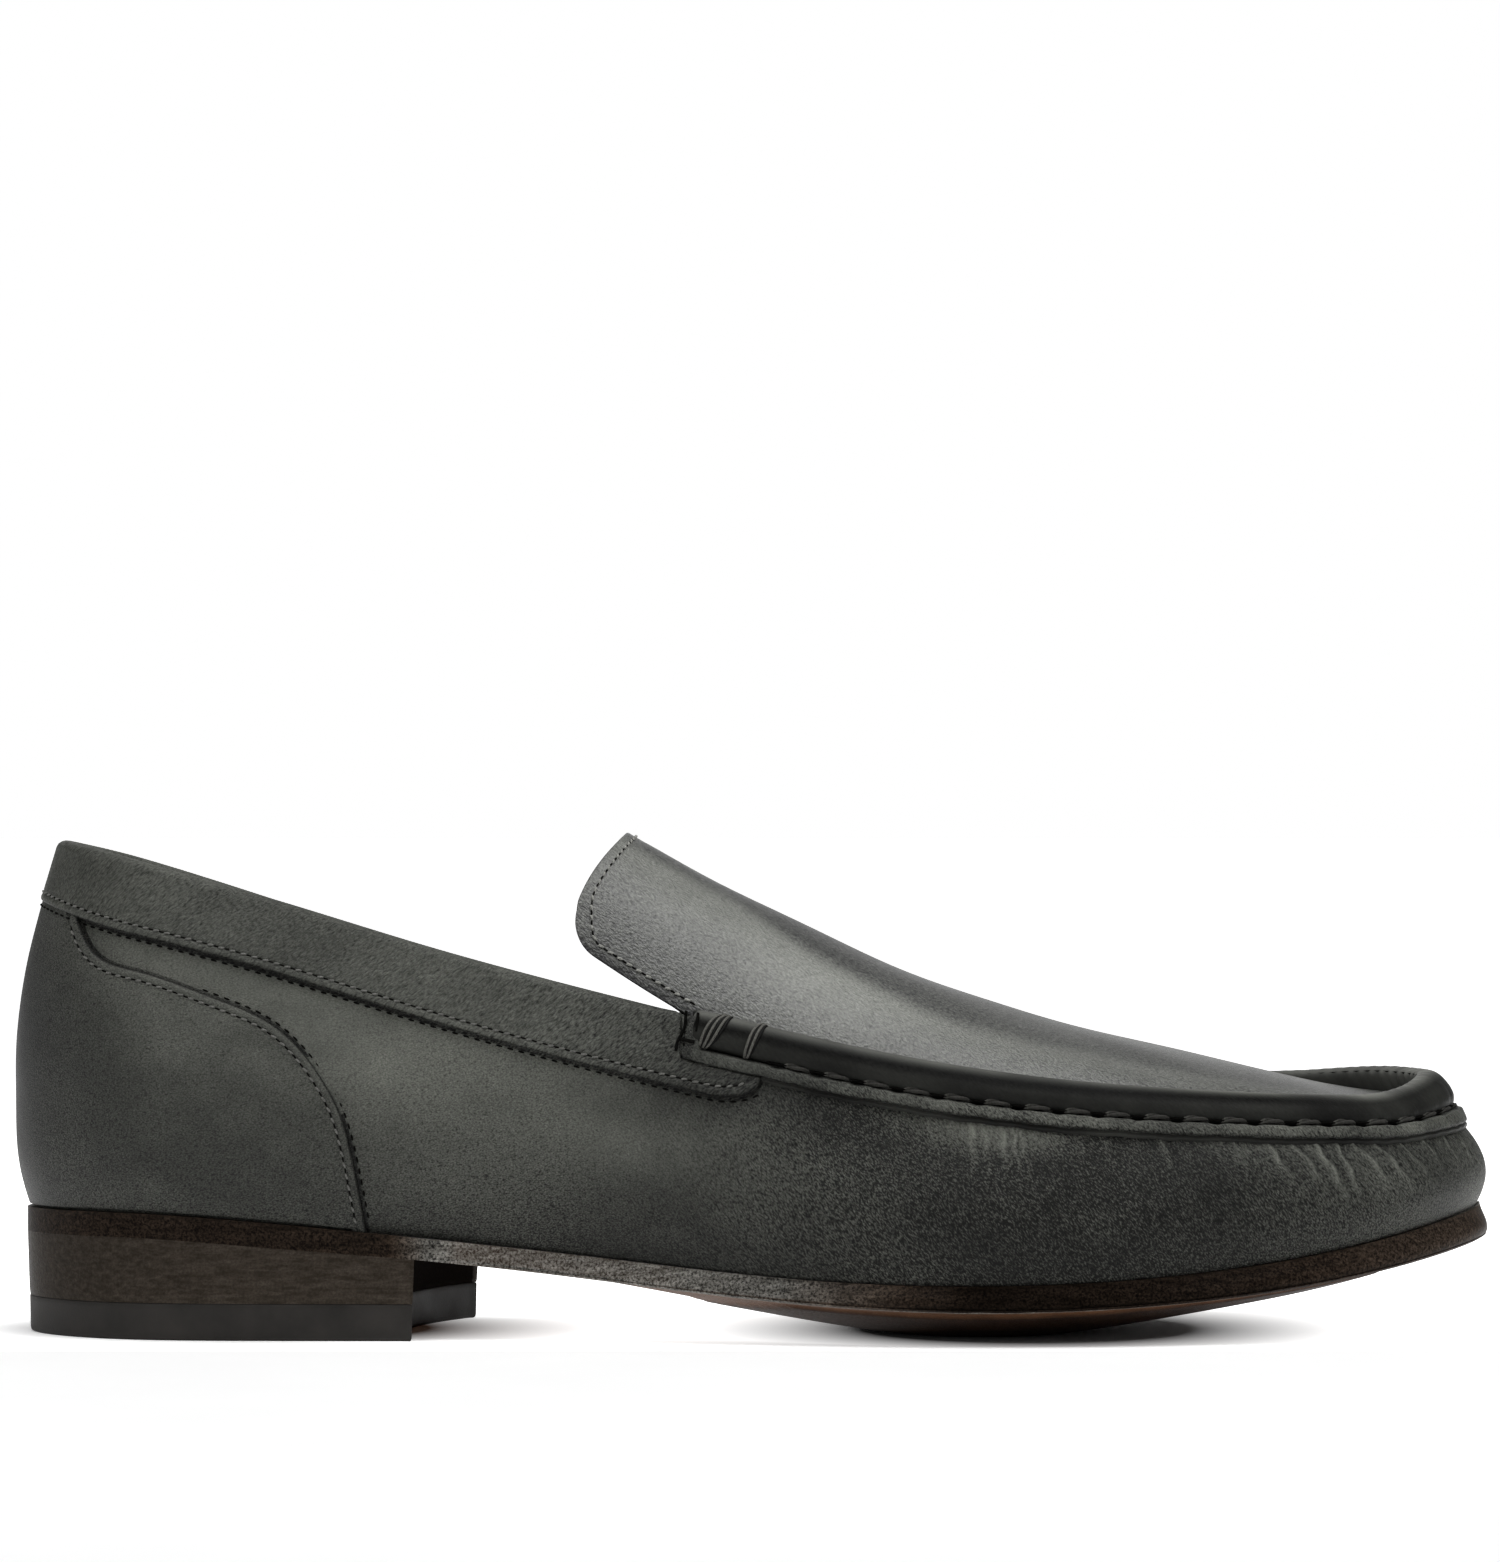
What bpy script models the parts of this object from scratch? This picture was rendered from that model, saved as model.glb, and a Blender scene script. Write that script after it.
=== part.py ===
"""Slip-on moccasin-toe loafer with a hidden heel lift, a right shoe, put together as its maker would do it.

Frame: +X towards the toe, +Z up, the lateral (outer) side at -Y, the floor at Z = 0.
Sizes are in millimetres, and MM turns them into Blender's metres.
"""

from collections import namedtuple
from functools import lru_cache
from math import cos, radians, sin, sqrt

import bmesh
import bpy
import numpy as np

MM = 0.001

# Thicknesses and gaps
WALL = 2.0                # leather of the upper with its lining
GAP = 0.3                 # between two pieces that touch
OVERLAY = 1.1             # leather of the collar band and of the heel counter
TOP_PIECE = 7.4           # rubber under the heel
INSOLE = 3.0              # footbed under the toes
INSOLE_ROOM = 1.1         # between the footbed's edge and the upper
INSOLE_EDGE = (0.5, 1.5)  # the footbed's edge lies this far below its top, and is at least this high
INSOLE_BELLY_SHARE = 0.8  # the footbed's top follows the sole's belly by this share
HEEL_LIFT = 18.0          # what the hidden wedge adds under the heel
LIFT_RUN = (-112.0, 26.0)  # the wedge thins out between these lengths

# The wall's profile is given at these shares of its height, from the sole up
LEVELS = (0.0, 0.08, 0.28, 0.65, 1.0)

# One row for each section round the shoe. x, y: the feather line, where the upper meets the sole.
# foot, belly, shoulder, top: how far the wall stands outside that line at LEVELS.
# top_z: height of the wall's top.
Section = namedtuple("Section", "x y foot belly shoulder top top_z")
HEEL_BACK = Section(-145.2, -1.0, 1.8, 3.2, 1.0, -5.9, 99.2)
LATERAL = (
    Section(-129.0, -25.5, 1.4, 2.8, 0.8, -5.8, 96.2),
    Section(-100.0, -31.6, 1.4, 3.0, 1.0, -5.2, 89.0),
    Section(-66.0, -32.8, 1.6, 3.4, 2.0, -3.0, 78.8),
    Section(-36.0, -35.4, 1.6, 3.6, 2.8, -1.0, 70.7),
    Section(-12.0, -40.0, 1.4, 3.2, 2.2, -2.6, 64.7),
    Section(22.0, -47.0, 1.2, 2.4, -0.6, -6.8, 56.8),
    Section(58.0, -49.0, 1.0, 1.8, -2.2, -9.6, 51.2),
    Section(92.0, -43.6, 0.9, 1.5, -2.8, -10.6, 48.4),
    Section(121.0, -32.0, 0.9, 1.6, -2.4, -10.0, 47.0),
    Section(140.0, -15.6, 0.8, 1.7, -1.4, -8.4, 46.6),
)
TOE_TIP = Section(148.4, 6.5, 0.7, 1.8, -0.9, -7.4, 46.6)
MEDIAL = (
    Section(-129.0, 23.0, 1.4, 2.8, 1.0, -5.6, 95.6),
    Section(-100.0, 29.2, 1.4, 3.0, 1.6, -4.4, 87.2),
    Section(-66.0, 28.4, 2.0, 4.2, 4.2, 0.0, 75.9),
    Section(-36.0, 26.4, 2.6, 6.0, 8.0, 6.4, 67.8),
    Section(-12.0, 28.6, 2.6, 5.8, 7.8, 6.2, 62.8),
    Section(22.0, 39.6, 1.8, 3.4, 1.8, -1.8, 57.0),
    Section(58.0, 48.4, 1.2, 2.0, -1.6, -10.0, 51.9),
    Section(92.0, 47.2, 1.0, 1.6, -2.8, -12.2, 49.1),
    Section(121.0, 39.4, 0.9, 1.6, -2.4, -11.0, 47.7),
    Section(140.0, 26.0, 0.8, 1.7, -1.4, -8.6, 47.0),
)
THROAT = 5                # the row where the collar ends and the apron seam begins
TOE = len(LATERAL) + 1    # the row of the toe tip
ROUND = 2 * TOE           # rows once round the shoe

# Side profile of the sole: height of the feather line, thickness seen at the edge, and how far the bottom
# bellies below that edge
SoleStation = namedtuple("SoleStation", "x feather edge belly")
SOLE_LINE = (
    SoleStation(-146.0, 25.3, 5.0, 0.0),
    SoleStation(-122.0, 25.3, 5.0, 0.0),
    SoleStation(-98.0, 23.7, 5.0, 0.0),
    SoleStation(-66.0, 20.7, 4.5, 0.0),
    SoleStation(-30.0, 17.0, 4.6, 2.0),
    SoleStation(10.0, 13.2, 4.9, 5.4),
    SoleStation(46.0, 12.1, 5.2, 8.2),
    SoleStation(90.0, 14.5, 5.6, 5.0),
    SoleStation(120.0, 18.9, 6.1, 2.8),
    SoleStation(149.0, 25.5, 6.6, 0.0),
)
BELLY_POWER = 2.2         # roundness of the bottom across the shoe
TOP_BELLY_SHARE = 0.85    # the sole's upper face bellies a little less than its bottom

# Side profile of the apron's ridge line, from the tongue's end to the toe
ProfilePoint = namedtuple("ProfilePoint", "x z")
APRON_TOP = (
    ProfilePoint(-25.0, 101.1),
    ProfilePoint(-10.0, 92.6),
    ProfilePoint(6.0, 84.7),
    ProfilePoint(30.0, 73.6),
    ProfilePoint(55.0, 64.8),
    ProfilePoint(80.0, 58.4),
    ProfilePoint(104.0, 52.8),
    ProfilePoint(122.0, 48.8),
)
APRON_ARC = radians(65)   # half angle of the round that the apron takes across the instep
ROW_AHEAD = (12.0, 4.5, 1.5, 0.5, 1.0, 1.6, 0.0)   # the apron's middle, ahead of its seams, THROAT to TOE
FLAT_TOE = (9.4, 10.4)    # rows between which the apron's edge takes the slope of its flat toe
TONGUE_HALF_WIDTH = 30.5
TONGUE_LEAN = 13.0        # the tongue's end leans forward from its corners to its top
TONGUE_RISE = 19.6        # and rises that far
TONGUE_CORNER = 0.26      # share of its length that the round corner takes
TONGUE_CORNER_CUT = 0.20  # share of its half width that the corner cuts off

# Raised apron seam, across: d runs down the wall from its top, h stands out from the wall
SeamPoint = namedtuple("SeamPoint", "side_d side_h toe_d toe_h")
SEAM_ROUND = (
    SeamPoint(-1.8, 0.2, -5.6, -1.0),
    SeamPoint(-1.0, 1.4, -6.8, 0.6),
    SeamPoint(0.7, 2.3, -5.1, 2.9),
    SeamPoint(2.8, 2.7, -2.0, 3.5),
    SeamPoint(4.9, 2.2, 0.3, 2.8),
    SeamPoint(5.7, 1.2, 1.9, 1.7),
    SeamPoint(6.3, 2.0, 2.3, 2.3),
    SeamPoint(8.1, 2.0, 4.6, 1.9),
    SeamPoint(10.1, 1.7, 7.3, 1.1),
)
SEAM_INSIDE = (2.0, 3.0)  # the seam's foot on the apron, in from the wall's top, at the side and at the toe
SEAM_CLEAR = 0.1          # more room there, where the apron is round
SEAM_TURN = (7.6, 10.2)   # rows between which the seam changes from its side form to its toe form

# Collar band and heel counter
BAND_BACK = 12.6          # width of the band at the back
BAND_SIDE = 14.8          # and along the sides
BAND_WIDENS = (0.0, 1.2)  # rows between which it changes from one to the other
BAND_ROUND = 0.7          # its edges are rounded over this width
BAND_TOP_STEP = 0.5       # share of its thickness that its rounded top edge loses
BAND_LOW_STEP = 0.3       # and its lower edge
BAND_DIP = (4.88, 4.98)   # rows between which its top dips under the seam's lip
BAND_END = 5.62           # row where the band runs out under that lip
BAND_UNDER_LIP = 10.5     # the band passes this far below the wall's top there
BAND_TIP = 1.0            # width left at its end
CounterPoint = namedtuple("CounterPoint", "row height")
COUNTER_EDGE = (
    CounterPoint(0.70, 0.82),
    CounterPoint(0.84, 0.75),
    CounterPoint(1.25, 0.695),
    CounterPoint(1.84, 0.655),
    CounterPoint(2.28, 0.585),
    CounterPoint(2.53, 0.45),
    CounterPoint(2.67, 0.27),
    CounterPoint(2.77, 0.00),
)
COUNTER_FOOT = 0.012      # the counter's lower edge, as a share of the wall's height

# Heel block
BREAST_LATERAL = -66.7    # front of the heel at its outer corner
BREAST_MEDIAL = -56.5     # and at its inner corner
BREAST_HOLLOW = 7.0       # how far the breast curves in
SOLE_REACH = 1.7          # the outsole stands out from the feather line
EDGE_FLARE = 0.5          # the forepart's edge swells by this at its middle and tucks in by it at its top
EDGE_SWELL = 0.6          # share of the edge's height, from its top, where it swells most
FLARE_RUN = 40.0          # length over which the heel's straight edge takes on that form
HEEL_TAPER = 0.6          # the heel draws in towards the floor

# Samples
ROWS = np.concatenate([
    np.linspace(0, 2, 13),
    np.linspace(2, 9, 22)[1:],
    np.linspace(9, TOE, 11)[1:],
])
WALL_LEVELS = (0.0, 0.04, 0.09, 0.17, 0.28, 0.42, 0.58, 0.74, 0.88, 1.0)
WALL_UPPER_PART = 0.4     # the wall is measured from this share of its height to its top
ACROSS = np.linspace(-1, 1, 13)
COUNTER_LEVELS = (0.0, 0.05, 0.11, 0.2, 0.33, 0.5, 0.66, 0.83, 1.0)
COUNTER_FRONT = (2.17, 2.33, 2.5, 2.61, 2.7, 2.75)
BAND_FRONT = (*BAND_DIP, 5.0, 5.15, 5.3, 5.45, BAND_END)
TONGUE_ROWS = (-1.0, -0.97, -0.9, -0.8, -0.6, -0.3)
SOLE_ACROSS = np.array([-1, -0.93, -0.78, -0.52, -0.2, 0.2, 0.52, 0.78, 0.93, 1])
INSOLE_ACROSS = np.linspace(-0.8, 0.8, 5)
INSOLE_LOW = 0.02         # the footbed's edge starts at this share of the wall's height
HEEL_ACROSS = np.linspace(-1, 1, 7)
HEEL_SHARES = np.linspace(0, 1, 21)
STEP = 1e-3
WELD = 0.004              # points closer than this are one
SHARP_ANGLE = radians(40)


def spline(knots, values, closed=False):
    """The smooth curve through values at knots, as a function; a closed one ends with its first row again."""
    t = np.asarray(knots, float)
    p = np.asarray(values, float).reshape(len(t), -1)
    h = np.diff(t)
    slope = np.diff(p, axis=0) / h[:, None]
    last = len(t) - 1
    system = np.eye(last + 1)
    right = np.zeros_like(p)
    for i in range(1, last):
        system[i, i - 1:i + 2] = h[i - 1], 2 * (h[i - 1] + h[i]), h[i]
        right[i] = 6 * (slope[i] - slope[i - 1])
    if closed:
        system[0, [0, 1, last - 1]] = 2 * (h[-1] + h[0]), h[0], h[-1]
        right[0] = 6 * (slope[0] - slope[-1])
        system[last, 0] = -1
    bend = np.linalg.solve(system, right)

    def at(x):
        i = int(np.clip(np.searchsorted(t, x, side="right") - 1, 0, last - 1))
        a = (t[i + 1] - x) / h[i]
        b = 1 - a
        return a * p[i] + b * p[i + 1] + ((a**3 - a) * bend[i] + (b**3 - b) * bend[i + 1]) * h[i]**2 / 6

    return at


def smooth_step(low, high, x):
    t = np.clip((x - low) / (high - low), 0, 1)
    return t * t * (3 - 2 * t)


def unit(vector):
    return vector / np.linalg.norm(vector)


# The last: plan, wall and sole line
LOOP = np.array([HEEL_BACK, *LATERAL, TOE_TIP, *reversed(MEDIAL), HEEL_BACK])
CHORDS = np.concatenate([[0], np.cumsum(np.linalg.norm(np.diff(LOOP[:, :2], axis=0), axis=1))])
loop_at = spline(CHORDS, LOOP, closed=True)
sole_line_at = spline([s.x for s in SOLE_LINE], [s[1:] for s in SOLE_LINE])


def other_side(row):
    """The row straight across the shoe."""
    return ROUND - row


def feather_z(x):
    return sole_line_at(x)[0]


def sole_edge(x):
    return sole_line_at(x)[1]


def sole_belly(x):
    return max(sole_line_at(x)[2], 0.0)


@lru_cache(maxsize=None)
def section(row):
    """The wall's section at a row: its foot in plan, the way out, and its profile by height share."""
    t = np.interp(row, np.arange(ROUND + 1), CHORDS)
    s = Section(*loop_at(t))
    ahead, behind = loop_at((t + STEP) % CHORDS[-1]), loop_at((t - STEP) % CHORDS[-1])
    along = unit((ahead - behind)[:2])
    low = feather_z(s.x)
    profile = spline(LEVELS, [(0, low), *[
        (out, low + level * (s.top_z - low))
        for level, out in zip(LEVELS[1:], (s.foot, s.belly, s.shoulder, s.top))
    ]])
    return np.array([s.x, s.y]), np.array([along[1], -along[0]]), profile


def wall_frame(row, share):
    """A point of the wall with its outward normal and its upward tangent, in space."""
    foot, outward, profile = section(float(row))
    out, z = profile(share)
    d_out, d_z = unit(profile(share + STEP) - profile(share - STEP))
    point = np.array([*(foot + outward * out), z])
    return point, np.array([*(outward * d_z), -d_out]), np.array([*(outward * d_out), d_z])


def wall_point(row, share, out=0.0):
    point, normal, _ = wall_frame(row, share)
    return point + normal * out


@lru_cache(maxsize=None)
def wall_length(row):
    """The wall's length from foot to top, worked out from its upper part, where it bends least."""
    points = np.array([wall_point(row, share) for share in np.linspace(WALL_UPPER_PART, 1, 13)])
    return np.linalg.norm(np.diff(points, axis=0), axis=1).sum() / (1 - WALL_UPPER_PART)


def wall_down(row, down, out):
    """A point that lies down from the wall's top, along the wall, and out from it."""
    if down >= 0:
        return wall_point(row, 1 - down / wall_length(float(row)), out)
    point, normal, up = wall_frame(row, 1.0)
    return point - up * down + normal * out


# The apron and its tongue are rows across the instep.
# along = -1 is the tongue's end, 0 the throat and TOE - THROAT the toe.
TOE_TOP = wall_point(TOE, 1.0)
apron_top_z = spline([*[p.x for p in APRON_TOP], TOE_TOP[0]], [*[p.z for p in APRON_TOP], TOE_TOP[2]])
row_ahead = spline(range(TOE - THROAT + 1), ROW_AHEAD)


@lru_cache(maxsize=None)
def apron_row(along):
    """Middle of the chord, half chord and crown of a row, and the share of its half width that is there."""
    row = THROAT + max(along, 0)
    lateral, medial = wall_point(row, 1.0), wall_point(other_side(row), 1.0)
    middle, half = (lateral + medial) / 2, (medial - lateral) / 2
    top_x = middle[0] + min(row_ahead(row - THROAT)[0], (TOE_TOP[0] - middle[0]) / 2)
    top = np.array([top_x, middle[1], apron_top_z(top_x)[0]])
    if along >= 0:
        return middle, half, top - middle, 1.0
    back = -along
    end_x = APRON_TOP[0].x
    top_x = top[0] + (end_x - top[0]) * back
    tongue_top = np.array([top_x, top[1] * (1 - back), apron_top_z(top_x)[0]])
    crown = (1 - back) * (top - middle) + back * np.array([TONGUE_LEAN, 0, TONGUE_RISE])
    half = (1 - back) * half + back * np.array([0, TONGUE_HALF_WIDTH, 0])
    corner = np.clip((back - 1 + TONGUE_CORNER) / TONGUE_CORNER, 0, 1)
    return tongue_top - crown, half, crown, 1 - TONGUE_CORNER_CUT * (1 - sqrt(1 - corner**2))


def arch(middle, half, crown, across):
    """A point on the round over a chord; across runs from -1 to 1."""
    angle = across * APRON_ARC
    rise = (cos(angle) - cos(APRON_ARC)) / (1 - cos(APRON_ARC))
    return middle + half * sin(angle) / sin(APRON_ARC) + crown * rise


def apron_point(along, across):
    middle, half, crown, share = apron_row(float(along))
    return arch(middle, half, crown, across * share)


@lru_cache(maxsize=None)
def apron_normal(along, across):
    along = min(along, TOE - THROAT - 0.05)
    forward = apron_point(along + STEP, across) - apron_point(max(along - STEP, -1), across)
    sideways = apron_point(along, min(across + STEP, 1)) - apron_point(along, max(across - STEP, -1))
    return unit(np.cross(forward, sideways))


def lid_normal(row):
    """The apron's normal at its seam; near the toe, where its rows close up, that of its flat middle."""
    side = -1 if row <= TOE else 1
    along = min(row, other_side(row)) - THROAT
    return apron_normal(float(along), float(side * (1 - smooth_step(*FLAT_TOE, along + THROAT))))


def seam_corner(row, depth):
    """The line where wall and apron meet, moved in by the same depth from both."""
    point, normal, _ = wall_frame(row, 1.0)
    lid = lid_normal(row)
    return point - (normal + lid) * depth / (1 + normal @ lid)


def inner_wall_point(row, share):
    if share == 0:
        foot, outward, profile = section(float(row))
        return np.array([*(foot - outward * WALL), profile(0)[1]])
    if share == 1 and THROAT <= row <= other_side(THROAT):
        return seam_corner(row, WALL)
    return wall_point(row, share, -WALL)


def inner_apron_point(along, across):
    if along >= 0:
        row = THROAT + along
        lateral, medial = seam_corner(row, WALL), seam_corner(other_side(row), WALL)
    else:
        middle, half, crown, _ = apron_row(float(along))
        lateral = middle - half - WALL * apron_normal(float(along), -1.0)
        medial = middle + half - WALL * apron_normal(float(along), 1.0)
    top = apron_point(along, 0) - WALL * apron_normal(float(along), 0.0)
    middle, half = (lateral + medial) / 2, (medial - lateral) / 2
    return arch(middle, half, top - middle, across * apron_row(float(along))[3])


# Building blocks
def new_object(name, mesh_maker, material):
    """An object of the shoe from a bmesh that is closed, welded and faces out."""
    mesh_maker.verts.ensure_lookup_table()
    bmesh.ops.remove_doubles(mesh_maker, verts=mesh_maker.verts, dist=WELD * MM)
    bmesh.ops.recalc_face_normals(mesh_maker, faces=mesh_maker.faces)
    mesh = bpy.data.meshes.new(name)
    mesh_maker.to_mesh(mesh)
    mesh_maker.free()
    mesh.shade_smooth()
    mesh.set_sharp_from_angle(angle=SHARP_ANGLE)
    mesh.materials.append(material)
    item = bpy.data.objects.new(name, mesh)
    SHOE.objects.link(item)
    return item


def add_sheet(maker, rows, wrap=False):
    """Quads between rows of points; wrap joins the last row to the first."""
    grid = [[maker.verts.new(np.asarray(point) * MM) for point in row] for row in rows]
    following = grid[1:] + grid[:1] if wrap else grid[1:]
    for near, far in zip(grid, following):
        for j in range(len(near) - 1):
            maker.faces.new((near[j], near[j + 1], far[j + 1], far[j]))
    return grid


def loft(name, rings, material):
    """A solid through closed rings of points, its ends filled; a ring that is one point needs no filling."""
    maker = bmesh.new()
    grid = add_sheet(maker, [[*ring, ring[0]] for ring in rings])
    for ring in (grid[0], grid[-1]):
        if (ring[0].co - ring[len(ring) // 2].co).length > MM * GAP:
            maker.faces.new(ring[:-1])
    return new_object(name, maker, material)


def shell(name, outer, inner, material):
    """A solid between two sheets of points with the same rows, closed round its edge."""
    maker = bmesh.new()
    add_sheet(maker, outer)
    add_sheet(maker, inner)
    for end in (0, -1):
        add_sheet(maker, [outer[end], inner[end]])
        add_sheet(maker, [[row[end] for row in sheet] for sheet in (outer, inner)])
    return new_object(name, maker, material)


def leather(name, colour, roughness, metallic=0.0):
    material = bpy.data.materials.new(name)
    material.use_nodes = True
    material.diffuse_color = (*colour, 1)
    surface = material.node_tree.nodes["Principled BSDF"]
    surface.inputs["Base Color"].default_value = (*colour, 1)
    surface.inputs["Roughness"].default_value = roughness
    surface.inputs["Metallic"].default_value = metallic
    return material


# Upper
def build_upper(material):
    """Vamp, quarters, apron and tongue: one leather wall, open at the collar and underneath."""
    rows = [*ROWS, *other_side(ROWS[-2:0:-1])]
    alongs = [*TONGUE_ROWS, *(ROWS[ROWS >= THROAT - STEP] - THROAT)]
    collar = np.array([row for row in ROWS if row <= THROAT + STEP])
    free_edge = [along for along in alongs if along <= STEP]
    walls = wall_point, inner_wall_point
    aprons = apron_point, inner_apron_point
    maker = bmesh.new()
    for wall, apron in zip(walls, aprons):
        add_sheet(maker, [[wall(row, share) for share in WALL_LEVELS] for row in rows], wrap=True)
        add_sheet(maker, [[apron(along, across) for across in ACROSS] for along in alongs])
    add_sheet(maker, [[wall(row, 0.0) for wall in walls] for row in rows], wrap=True)
    for side, collar_rows in ((-1, collar), (1, other_side(collar) % ROUND)):
        add_sheet(maker, [[wall(row, 1.0) for wall in walls] for row in collar_rows])
        add_sheet(maker, [[apron(along, side) for apron in aprons] for along in free_edge])
    add_sheet(maker, [[apron(TONGUE_ROWS[0], across) for apron in aprons] for across in ACROSS])
    return new_object("upper", maker, material)


def seam_ring(row):
    """The raised apron seam cut across at a row: its round top and lip outside, the upper's form inside."""
    toe = smooth_step(*SEAM_TURN, min(row, other_side(row)))
    outside = [
        wall_down(row, (1 - toe) * p.side_d + toe * p.toe_d, (1 - toe) * p.side_h + toe * p.toe_h)
        for p in SEAM_ROUND
    ]
    lip = (1 - toe) * SEAM_ROUND[-1].side_d + toe * SEAM_ROUND[-1].toe_d
    lid = lid_normal(row)
    forward = wall_point(row + STEP, 1.0) - wall_point(row - STEP, 1.0)
    inside = (1 - toe) * SEAM_INSIDE[0] + toe * SEAM_INSIDE[1]
    foot = wall_point(row, 1.0) + unit(np.cross(lid, forward)) * inside + lid * (GAP + SEAM_CLEAR)
    under = [wall_down(row, lip * share, GAP) for share in (1, 0.6, 0.3)]
    return [foot, *outside, *under, seam_corner(row, -GAP)]


def build_apron_seam(material):
    lateral = ROWS[ROWS >= THROAT - STEP]
    rows = [*lateral, *other_side(lateral[-2::-1])]
    return loft("apron_seam", [seam_ring(row) for row in rows], material)


def band_low(row):
    """How far the collar band reaches down from the wall's top at a row."""
    near = min(row, other_side(row))
    width = BAND_BACK + (BAND_SIDE - BAND_BACK) * smooth_step(*BAND_WIDENS, near)
    run_out = smooth_step(THROAT, BAND_END, near)
    return width + (BAND_UNDER_LIP + BAND_TIP - width) * run_out**2


def band_ring(row):
    """The collar band cut across at a row: down and out from the wall's top."""
    near = min(row, other_side(row))
    top = BAND_UNDER_LIP * smooth_step(*BAND_DIP, near)
    low = band_low(row)
    skin = GAP + OVERLAY
    edge = min(BAND_ROUND, (low - top) / 3)
    shares = np.linspace(0, 1, 4)
    outside = [(top + edge + (low - top - 2 * edge) * share, skin) for share in shares]
    inside = [(top + (low - top) * share, GAP) for share in shares[::-1]]
    top_edge = top, skin - BAND_TOP_STEP * OVERLAY
    low_edge = low, skin - BAND_LOW_STEP * OVERLAY
    return [wall_down(row % ROUND, down, out) for down, out in [top_edge, *outside, low_edge, *inside]]


def build_collar_band(material):
    half = [*ROWS[ROWS < BAND_FRONT[0] - STEP], *BAND_FRONT]
    rows = [*other_side(np.array(half[:0:-1])), *half]
    return loft("collar_band", [band_ring(row) for row in rows], material)


def build_heel_counter(material):
    """The patch round the heel, up to the collar band and forward to its curved edge."""
    edge_height = spline([p.row for p in COUNTER_EDGE], [p.height for p in COUNTER_EDGE])

    def top_share(row):
        near = min(row, other_side(row))
        under_band = 1 - (band_low(row) + 2 * GAP) / wall_length(float(row))
        return under_band if near < COUNTER_EDGE[0].row else min(under_band, edge_height(near)[0])

    half = [*ROWS[ROWS < COUNTER_FRONT[0] - STEP], *COUNTER_FRONT]
    rows = [*other_side(np.array(half[:0:-1])), *half]

    def sheet(out):
        return [[wall_point(row, COUNTER_FOOT + level * (top_share(row) - COUNTER_FOOT), out)
                 for level in COUNTER_LEVELS] for row in rows]

    return shell("heel_counter", sheet(GAP + OVERLAY), sheet(GAP), material)


# Sole
def edge_point(row, reach, z):
    foot, outward, _ = section(float(row))
    return np.array([*(foot + outward * reach), z])


def bottom_z(x, across):
    """Height of the outsole's bottom; where the belly would pass the floor it is flat."""
    return max(feather_z(x) - sole_edge(x) - sole_belly(x) * (1 - abs(across)**BELLY_POWER), 0.0)


def top_z(x, across):
    return feather_z(x) - GAP - TOP_BELLY_SHARE * sole_belly(x) * (1 - abs(across)**BELLY_POWER)


def sole_ring(row):
    """The outsole cut across at a row: its top, then its bottom, with the swelling edge between them."""
    rows = row, other_side(row) % ROUND
    flare = EDGE_FLARE * smooth_step(BREAST_LATERAL, BREAST_LATERAL + FLARE_RUN, section(float(row))[0][0])
    reaches = SOLE_REACH - 2 * flare, SOLE_REACH + flare, SOLE_REACH - flare
    high, middle, low = ([edge_point(r, reach, 0) for r in rows] for reach in reaches)
    ring = []
    for ends, height, order in ((high, top_z, SOLE_ACROSS), (low, bottom_z, -SOLE_ACROSS)):
        for across in order:
            point = ends[0] + (ends[1] - ends[0]) * (across + 1) / 2
            ring.append([point[0], point[1], height(point[0], across)])
        swell = middle[1] if order[-1] > 0 else middle[0]
        ring.append([swell[0], swell[1], feather_z(swell[0]) - EDGE_SWELL * sole_edge(swell[0])])
    return ring


def build_outsole(material):
    return loft("outsole", [sole_ring(row) for row in ROWS], material)


def row_at(x, side):
    """The row where the feather line passes a length x on one side: -1 lateral, 1 medial."""
    near = np.linspace(1, 6, 200)
    rows = near if side < 0 else other_side(near)
    return np.interp(x, [section(float(row))[0][0] for row in rows], near)


def heel_ring(share, low, high):
    """The heel cut across at a share of the way from its back to its breast, from low to high."""
    lateral = share * row_at(BREAST_LATERAL, -1)
    medial = other_side(share * row_at(BREAST_MEDIAL, 1)) % ROUND
    ring = []
    for height, order in ((high, HEEL_ACROSS), (low, -HEEL_ACROSS)):
        drawn_in = HEEL_TAPER * (1 - height(BREAST_LATERAL) / feather_z(BREAST_LATERAL))
        ends = [edge_point(row, SOLE_REACH - drawn_in, 0) for row in (lateral, medial)]
        for across in order:
            point = ends[0] + (ends[1] - ends[0]) * (across + 1) / 2
            x = point[0] - BREAST_HOLLOW * share**2 * (1 - across**2)
            ring.append([x, point[1], height(x)])
    return ring


def level(z):
    """A height that is the same all along the shoe."""
    return lambda x: z


def stack_top(x):
    return feather_z(x) - sole_edge(x) - GAP


def build_heel(stack_material, rubber):
    stack = [heel_ring(share, level(TOP_PIECE), stack_top) for share in HEEL_SHARES]
    piece = [heel_ring(share, level(0.0), level(TOP_PIECE - GAP)) for share in HEEL_SHARES]
    return loft("heel_stack", stack, stack_material), loft("heel_top_piece", piece, rubber)


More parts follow.
